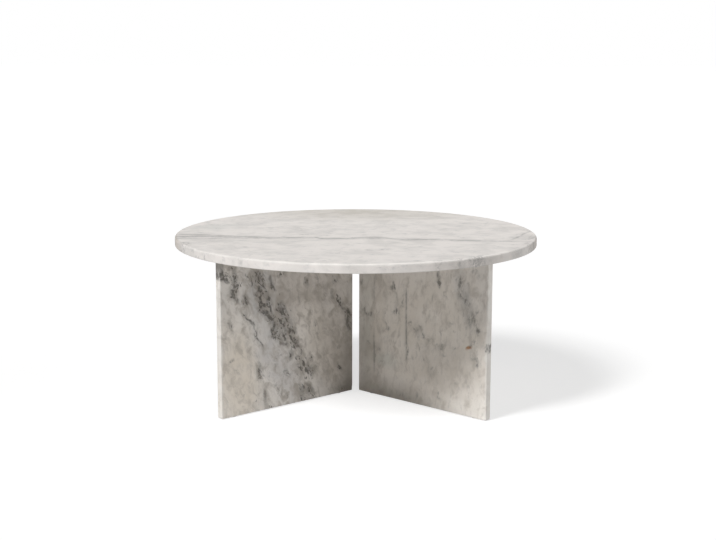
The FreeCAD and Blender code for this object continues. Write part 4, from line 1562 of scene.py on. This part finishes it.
@dataclass(frozen=True)
class LegPanel:
    """One upright slab.

    Attributes:
        quarter: Where the slab stands.
        fastening: Where its insert holes are.
        inner: Distance from the axis to its inner end.
        outer: Distance from the axis to its outer end.
        foot: Height of its lower edge.
        head: Height of its upper edge.
        ease: Radius of its eased edges.
        ease_steps: Number of faces across an eased edge.
        glide_margin: Distance from each end to the middle of a glide.
        stem_hole: Radius of the holes for the glides' stems.
        stem_depth: Depth of those holes.
    """

    quarter: Quarter
    fastening: Fastening
    inner: float = 0.021
    outer: float = 0.4775
    foot: float = 0.002
    head: float = 0.428
    ease: float = 0.0025
    ease_steps: int = 4
    glide_margin: float = 0.045
    stem_hole: float = 0.0031
    stem_depth: float = 0.0125

    def shape(self) -> bmesh.types.BMesh:
        """Builds the slab with its eased edges, insert holes and stem holes.

        Returns:
            The mesh in its place.
        """
        slab = bmesh.new()
        middle = Vector(((self.inner + self.outer) / 2, 0.0, (self.foot + self.head) / 2))
        size = Vector((self.outer - self.inner, 2 * self.fastening.panel_half, self.head - self.foot))
        place = self.quarter.turn @ Matrix.Translation(middle) @ Matrix.Diagonal(size.to_4d())
        bmesh.ops.create_cube(slab, size=1.0, matrix=place)
        Bench.bevel(slab, slab.edges, self.ease, self.ease_steps)
        mouths = self.fastening.sideways_screws(self.quarter)
        slab = Bench.cut(slab, self.fastening.insert_drills(mouths))
        stems = [
            self.quarter.turn @ Matrix.Translation((reach, 0.0, self.foot))
            for reach in (self.inner + self.glide_margin, self.outer - self.glide_margin)
        ]
        return Bench.cut(slab, self.fastening.drills(stems, self.stem_hole, self.stem_depth))

    def lie(self) -> Matrix:
        """Gives the turn from the table's axes to the slab's along, up and through."""
        return (Matrix.Rotation(-QUARTER_TURN, 4, "X") @ self.quarter.turn.inverted()).to_3x3()

    def build(self) -> None:
        """Builds and dresses the slab."""
        where = self.quarter.value
        finish, pattern = PANEL_STONES[self.quarter], PANEL_PATTERNS[self.quarter]
        stone = finish.make(f"honed_panel_stone_{where}", self.lie(), pattern)
        Bench.finish(self.shape(), f"upright_{where}", Slot.PANEL_STONE, stone, [f"leg_panel_{where}"])


@dataclass(frozen=True)
class Brackets:
    """The bent steel angles under the top.

    Attributes:
        fastening: Where the brackets sit.
        leg: Length of each leg.
        width: Width of the bracket.
        bend: Inner radius of the bend.
        corner: Radius of the legs' free corners.
        arris: Radius of the softened edges.
        hole: Radius of the screw holes.
        bend_steps: Number of faces across the bend and the corners.
        arris_steps: Number of faces across a softened edge.
    """

    fastening: Fastening
    leg: float = 0.040
    width: float = 0.050
    bend: float = 0.003
    corner: float = 0.006
    arris: float = 0.0004
    hole: float = 0.0033
    bend_steps: int = 6
    arris_steps: int = 2

    SHARP_ANGLE = math.radians(60.0)

    def section(self) -> list[tuple[float, float]]:
        """Gives the corners of the bracket's section, out from the panel and up from the heel."""
        far, thick = self.leg, self.fastening.gauge
        return [(0.0, 0.0), (far, 0.0), (far, -thick), (thick, -thick), (thick, -far), (0.0, -far)]

    def blank(self) -> bmesh.types.BMesh:
        """Bends the bracket and rounds its corners and edges.

        Returns:
            The mesh with its heel along X at the origin.
        """
        plate = bmesh.new()
        corners = [plate.verts.new((-self.width / 2, out, up)) for out, up in self.section()]
        outline = plate.faces.new(corners)
        grown = bmesh.ops.extrude_face_region(plate, geom=[outline])["geom"]
        moved = [item for item in grown if isinstance(item, bmesh.types.BMVert)]
        bmesh.ops.translate(plate, verts=moved, vec=(self.width, 0.0, 0.0))
        bmesh.ops.recalc_face_normals(plate, faces=plate.faces)
        thick = self.fastening.gauge

        def bends(out: float, up: float) -> list[bmesh.types.BMEdge]:
            """Finds the edges across the bracket at a corner of its section."""
            return [
                edge for edge in plate.edges
                if all(abs(vert.co.y - out) + abs(vert.co.z - up) < WELD_DISTANCE for vert in edge.verts)
            ]

        Bench.bevel(plate, bends(thick, -thick), self.bend, self.bend_steps)
        Bench.bevel(plate, bends(0.0, 0.0), self.bend + thick, self.bend_steps)
        free = [
            edge for edge in plate.edges
            if all(max(vert.co.y, -vert.co.z) > self.leg - WELD_DISTANCE for vert in edge.verts)
            and abs(edge.verts[0].co.x - edge.verts[1].co.x) < WELD_DISTANCE
        ]
        Bench.bevel(plate, free, self.corner, self.bend_steps)
        sharp = [edge for edge in plate.edges if edge.calc_face_angle(0.0) > self.SHARP_ANGLE]
        Bench.bevel(plate, sharp, self.arris, self.arris_steps)
        return plate

    def shape(self) -> bmesh.types.BMesh:
        """Drills the bent blank.

        Returns:
            The mesh with its heel along X at the origin.
        """
        steps, back = self.fastening.steps(), self.fastening.hole_setback
        upright = [Matrix.Translation((step, back, 0.0)) for step in steps]
        inwards = Matrix.Rotation(QUARTER_TURN, 4, "X")
        sideways = [Matrix.Translation((step, 0.0, -back)) @ inwards for step in steps]
        depth = 2 * self.fastening.gauge
        return Bench.cut(self.blank(), self.fastening.drills(upright + sideways, self.hole, depth))

    def build(self) -> None:
        """Builds and dresses the brackets of every panel."""
        steel = BRACKET_STEEL.make("plated_bracket_steel")
        master = self.shape()
        for quarter in Quarter:
            for end in End:
                copy = master.copy()
                bmesh.ops.transform(copy, matrix=self.fastening.heel(quarter, end), verts=copy.verts)
                where = f"{quarter.value}_{end.value}"
                name, node = f"steel_angle_{where}", f"angle_bracket_{where}"
                Bench.finish(copy, name, Slot.BRACKET_STEEL, steel, [node])
        master.free()


@dataclass(frozen=True)
class Screws:
    """The round-headed socket screws.

    Attributes:
        fastening: Where the screws go in.
        head_radius: Radius of the head.
        head_height: Height of the head.
        head_round: Radius of the head's rounded edge.
        socket: Width of the hexagon socket across its flats.
        socket_depth: Depth of the socket.
        length: Length of the shank.
        crest: Radius of the thread's crest.
        core: Radius of the thread's core.
        neck: Length of the plain neck under the head.
        tip: Length of the tapered tip.
        pitch: Rise of the thread in one turn.
        turns: Number of turns of the thread.
        turn_steps: Number of faces in one turn of the thread.
        facets: Number of faces round the head.
        round_steps: Number of faces across the head's rounded edge.
    """

    fastening: Fastening
    head_radius: float = 0.0055
    head_height: float = 0.0034
    head_round: float = 0.0024
    socket: float = 0.004
    socket_depth: float = 0.0022
    length: float = 0.014
    crest: float = 0.00297
    core: float = 0.00255
    neck: float = 0.0012
    tip: float = 0.0008
    pitch: float = 0.001
    turns: int = 11
    turn_steps: int = 12
    facets: int = 32
    round_steps: int = 5

    HEXAGON = 6
    THREAD_WIDTH, ROOT_SINK = 0.8, 0.25

    def turned(self) -> bmesh.types.BMesh:
        """Turns the head and the shank.

        Returns:
            The mesh, with its seat at the origin and its shank along Z.
        """
        body = bmesh.new()
        profile = [
            (0.0, -self.head_height), (self.head_radius, -self.head_height), (self.head_radius, 0.0),
            (self.crest, 0.0), (self.crest, self.neck), (self.core, self.neck + self.pitch / 2),
            (self.core, self.length - self.tip), (self.core - self.tip, self.length), (0.0, self.length),
        ]
        ring = [body.verts.new((radius, 0.0, height)) for radius, height in profile]
        edges = [body.edges.new(pair) for pair in zip(ring, ring[1:])]
        bmesh.ops.spin(
            body, geom=ring + edges, cent=(0.0, 0.0, 0.0), axis=(0.0, 0.0, 1.0), dvec=(0.0, 0.0, 0.0),
            angle=FULL_TURN, steps=self.facets, use_merge=True, use_duplicate=False,
        )
        bmesh.ops.remove_doubles(body, verts=body.verts, dist=WELD_DISTANCE)
        bmesh.ops.recalc_face_normals(body, faces=body.faces)
        crown = [
            edge for edge in body.edges
            if all(
                abs(vert.co.z + self.head_height) < WELD_DISTANCE and vert.co.xy.length > self.core
                for vert in edge.verts
            )
        ]
        Bench.bevel(body, crown, self.head_round, self.round_steps)
        return body

    def thread(self, body: bmesh.types.BMesh) -> None:
        """Winds a closed thread round the shank.

        Args:
            body: Mesh that the thread joins.
        """
        wound = bmesh.new()
        inside = self.core - (self.crest - self.core) * self.ROOT_SINK
        start, width = self.neck, self.pitch * self.THREAD_WIDTH
        flank = [(inside, start), (self.crest, start + width / 2), (inside, start + width)]
        ring = [wound.verts.new((radius, 0.0, height)) for radius, height in flank]
        face = wound.faces.new(ring)
        rise = self.pitch / self.turn_steps
        bmesh.ops.spin(
            wound, geom=[face], cent=(0.0, 0.0, 0.0), axis=(0.0, 0.0, 1.0), dvec=(0.0, 0.0, rise),
            angle=FULL_TURN * self.turns, steps=self.turn_steps * self.turns,
            use_merge=False, use_duplicate=False,
        )
        bmesh.ops.recalc_face_normals(wound, faces=wound.faces)
        mesh = bpy.data.meshes.new("thread")
        wound.to_mesh(mesh)
        wound.free()
        body.from_mesh(mesh)
        bpy.data.meshes.remove(mesh)

    def shape(self) -> bmesh.types.BMesh:
        """Makes one screw.

        Returns:
            The mesh, with its seat at the origin and its shank along Z.
        """
        socket = bmesh.new()
        corner = self.socket / 2 / math.cos(math.pi / self.HEXAGON)
        crown = Matrix.Translation((0.0, 0.0, -self.head_height))
        bmesh.ops.create_cone(
            socket, cap_ends=True, segments=self.HEXAGON,
            radius1=corner, radius2=corner, depth=2 * self.socket_depth, matrix=crown,
        )
        body = Bench.cut(self.turned(), socket)
        self.thread(body)
        return body

    def build(self) -> None:
        """Builds and dresses both sets of screws."""
        steel = SCREW_STEEL.make("turned_screw_steel")
        master = self.shape()
        pattern = bpy.data.meshes.new("screw")
        master.to_mesh(pattern)
        master.free()
        sets = (
            ("screws_into_top", "top_screws", self.fastening.upright_screws),
            ("screws_into_panels", "panel_screws", self.fastening.sideways_screws),
        )
        seat = Matrix.Translation((0.0, 0.0, -self.fastening.gauge))
        for name, node, places in sets:
            group = bmesh.new()
            for place in (place for quarter in Quarter for place in places(quarter)):
                before = len(group.verts)
                group.from_mesh(pattern)
                group.verts.ensure_lookup_table()
                bmesh.ops.transform(group, matrix=place @ seat, verts=group.verts[before:])
            Bench.finish(group, name, Slot.SCREW_STEEL, steel, [node])
        bpy.data.meshes.remove(pattern)


class Fittings:
    """The inserts, buffers and glides, which keep their CAD shapes and get their finishes here."""

    def dress(self, node: str, material: bpy.types.Material) -> None:
        """Gives a CAD node its material.

        Args:
            node: Name of the node.
            material: Material for it.
        """
        piece = bpy.data.objects[node]
        piece.data.materials.clear()
        piece.data.materials.append(material)
        LOG.info("%s: dressed in %s", node, material.name)

    def build(self) -> None:
        """Dresses every insert, buffer and glide."""
        brass = INSERT_BRASS.make("turned_insert_brass")
        for node in ("top_inserts", "panel_inserts"):
            self.dress(node, brass)
        for kind, material in (
            ("buffer", BUFFER_RUBBER.make("moulded_buffer_rubber")),
            ("glide", GLIDE_PLASTIC.make("moulded_glide_plastic")),
        ):
            for quarter in Quarter:
                for end in End:
                    self.dress(f"{kind}_{quarter.value}_{end.value}", material)


@dataclass(frozen=True)
class Camera:
    """The camera at the photograph's place.

    Attributes:
        focal_pixels: Focal length in pixels of the frame.
        frame_width: Width of the frame in pixels.
        distance: Distance from the table's axis in plan.
        height: Height over the floor.
        orbit: Turn of the camera's place about the axis, in degrees.
        pitch: Downward tilt in degrees.
        yaw: Turn to the right in degrees.
        roll: Turn about the line of sight in degrees.
    """

    focal_pixels: float = 1363.5
    frame_width: float = 716.0
    distance: float = 3.8154
    height: float = 1.0374
    orbit: float = 0.8477
    pitch: float = 10.2386
    yaw: float = 0.0943
    roll: float = 0.1248

    SENSOR = 36.0

    def build(self) -> None:
        """Places the camera and makes it the scene's own."""
        data = bpy.data.cameras.new("camera")
        data.sensor_fit = "HORIZONTAL"
        data.sensor_width = self.SENSOR
        data.lens = self.focal_pixels * self.SENSOR / self.frame_width
        camera = bpy.data.objects.new("camera", data)
        place = Matrix.Translation((0.0, -self.distance, self.height))
        look = Matrix.Rotation(-math.radians(self.yaw), 4, "Z")
        tilt = Matrix.Rotation(QUARTER_TURN - math.radians(self.pitch), 4, "X")
        spin = Matrix.Rotation(math.radians(self.roll), 4, "Z")
        about = Matrix.Rotation(math.radians(self.orbit), 4, "Z")
        camera.matrix_world = about @ place @ look @ tilt @ spin
        bpy.context.scene.collection.objects.link(camera)
        bpy.context.scene.camera = camera


@dataclass(frozen=True)
class Lamp:
    """A soft distant lamp, of one round pane or of several over each other.

    Attributes:
        name: Name of the lamp.
        strength: Strength of its light.
        heading: Direction of the lamp in plan, in degrees.
        height: Height of its middle over the horizon, in degrees.
        size: Angle that each pane takes up, in degrees.
        panes: Number of panes.
        step: Angle from each pane up to the next, in degrees.
    """

    name: str
    strength: float
    heading: float
    height: float
    size: float
    panes: int = 1
    step: float = 0.0

    def build(self) -> None:
        """Hangs the lamp."""
        data = bpy.data.lights.new(self.name, "SUN")
        data.energy = self.strength / self.panes
        data.angle = math.radians(self.size)
        heading = math.radians(self.heading)
        for pane in range(self.panes):
            lamp = bpy.data.objects.new(f"{self.name}_{pane}", data)
            height = math.radians(self.height + self.step * (pane - (self.panes - 1) / 2))
            level = math.cos(height)
            towards = Vector((math.cos(heading) * level, math.sin(heading) * level, math.sin(height)))
            lamp.matrix_world = towards.to_track_quat("Z", "Y").to_matrix().to_4x4()
            bpy.context.scene.collection.objects.link(lamp)


@dataclass(frozen=True)
class Studio:
    """A pale floor, an even white surround, and lamps from the front left, the front and the right.

    Attributes:
        key: Lamp that throws the table's shadow.
        fill: Broad lamp that softens it.
        edge: Weak low lamp from the right, which lifts the right rim and end.
        surround: Strength of the surround as a light.
        floor_bounce: Share of light that the floor throws back on the table.
        floor_shown: Share of light that the floor shows to the camera.
        floor_glow: White that the floor adds for the camera.
        floor_half: Half the width of the floor.
    """

    key: Lamp = Lamp("key_lamp", strength=2.62, heading=222.0, height=47.0, size=12.0, panes=3, step=7.0)
    fill: Lamp = Lamp("fill_lamp", strength=0.3, heading=280.0, height=45.0, size=60.0)
    edge: Lamp = Lamp("edge_lamp", strength=0.82, heading=350.0, height=15.0, size=40.0)
    surround: float = 0.1
    floor_bounce: float = 0.72
    floor_shown: float = 0.44
    floor_glow: float = 0.655
    floor_half: float = 30.0

    SEEN_BY = ("Is Camera Ray", "Is Glossy Ray", "Is Transmission Ray")

    def seen(self, sheet: NodeSheet) -> Feed:
        """Tells rays that show the floor or the surround from those that only carry light.

        Args:
            sheet: Node tree to work in.

        Returns:
            A number that is 1 for camera, glossy and transmission rays and 0 for others.
        """
        path = sheet.add("ShaderNodeLightPath")
        return sheet.largest(path.outputs[ray] for ray in self.SEEN_BY)

    def surround_light(self) -> None:
        """Makes the even white surround."""
        world = bpy.data.worlds.new("surround")
        sheet = NodeSheet(world)
        background = sheet.add("ShaderNodeBackground")
        strength = sheet.span(self.seen(sheet), 0.0, 1.0, self.surround, 1.0, smooth=False)
        sheet.feed(background.inputs["Color"], WHITE)
        sheet.feed(background.inputs["Strength"], strength)
        sheet.end(background.outputs["Background"], "ShaderNodeOutputWorld")
        bpy.context.scene.world = world

    def floor_paper(self) -> bpy.types.Material:
        """Makes the floor's material, white to the camera apart from the table's shadow.

        Returns:
            The material.
        """
        material = bpy.data.materials.new("floor_paper")
        sheet = NodeSheet(material)
        bounce = sheet.add("ShaderNodeBsdfDiffuse")
        shown = sheet.add("ShaderNodeBsdfDiffuse")
        glow = sheet.add("ShaderNodeEmission")
        sheet.feed(bounce.inputs["Color"], grey(self.floor_bounce))
        sheet.feed(shown.inputs["Color"], grey(self.floor_shown))
        sheet.feed(glow.inputs["Strength"], self.floor_glow)
        paper = sheet.add("ShaderNodeAddShader")
        sheet.feed(paper.inputs[0], shown.outputs[0])
        sheet.feed(paper.inputs[1], glow.outputs[0])
        choice = sheet.add("ShaderNodeMixShader")
        sheet.feed(choice.inputs[0], self.seen(sheet))
        sheet.feed(choice.inputs[1], bounce.outputs[0])
        sheet.feed(choice.inputs[2], paper.outputs[0])
        sheet.end(choice.outputs[0])
        return material

    def floor(self) -> None:
        """Lays the floor."""
        sheet = bmesh.new()
        bmesh.ops.create_grid(sheet, x_segments=1, y_segments=1, size=self.floor_half)
        floor = Bench.solid(sheet, "floor")
        floor.data.materials.append(self.floor_paper())

    def build(self) -> None:
        """Sets up the floor, the light and the view."""
        self.floor()
        for lamp in (self.key, self.fill, self.edge):
            lamp.build()
        self.surround_light()
        bpy.context.scene.view_settings.view_transform = "Standard"


def clear_defaults() -> None:
    """Removes the objects that a new Blender file comes with."""
    for name in ("Cube", "Light", "Camera"):
        thing = bpy.data.objects.get(name)
        if thing is not None:
            bpy.data.objects.remove(thing)


def main() -> None:
    """Loads the frame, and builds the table's pieces in order."""
    logging.basicConfig(level=logging.INFO, format="%(message)s")
    clear_defaults()
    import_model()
    fastening = Fastening()
    StoneTop(fastening).build()
    for quarter in Quarter:
        LegPanel(quarter, fastening).build()
    Brackets(fastening).build()
    Screws(fastening).build()
    Fittings().build()
    Studio().build()
    Camera().build()


if __name__ == "__main__":
    main()
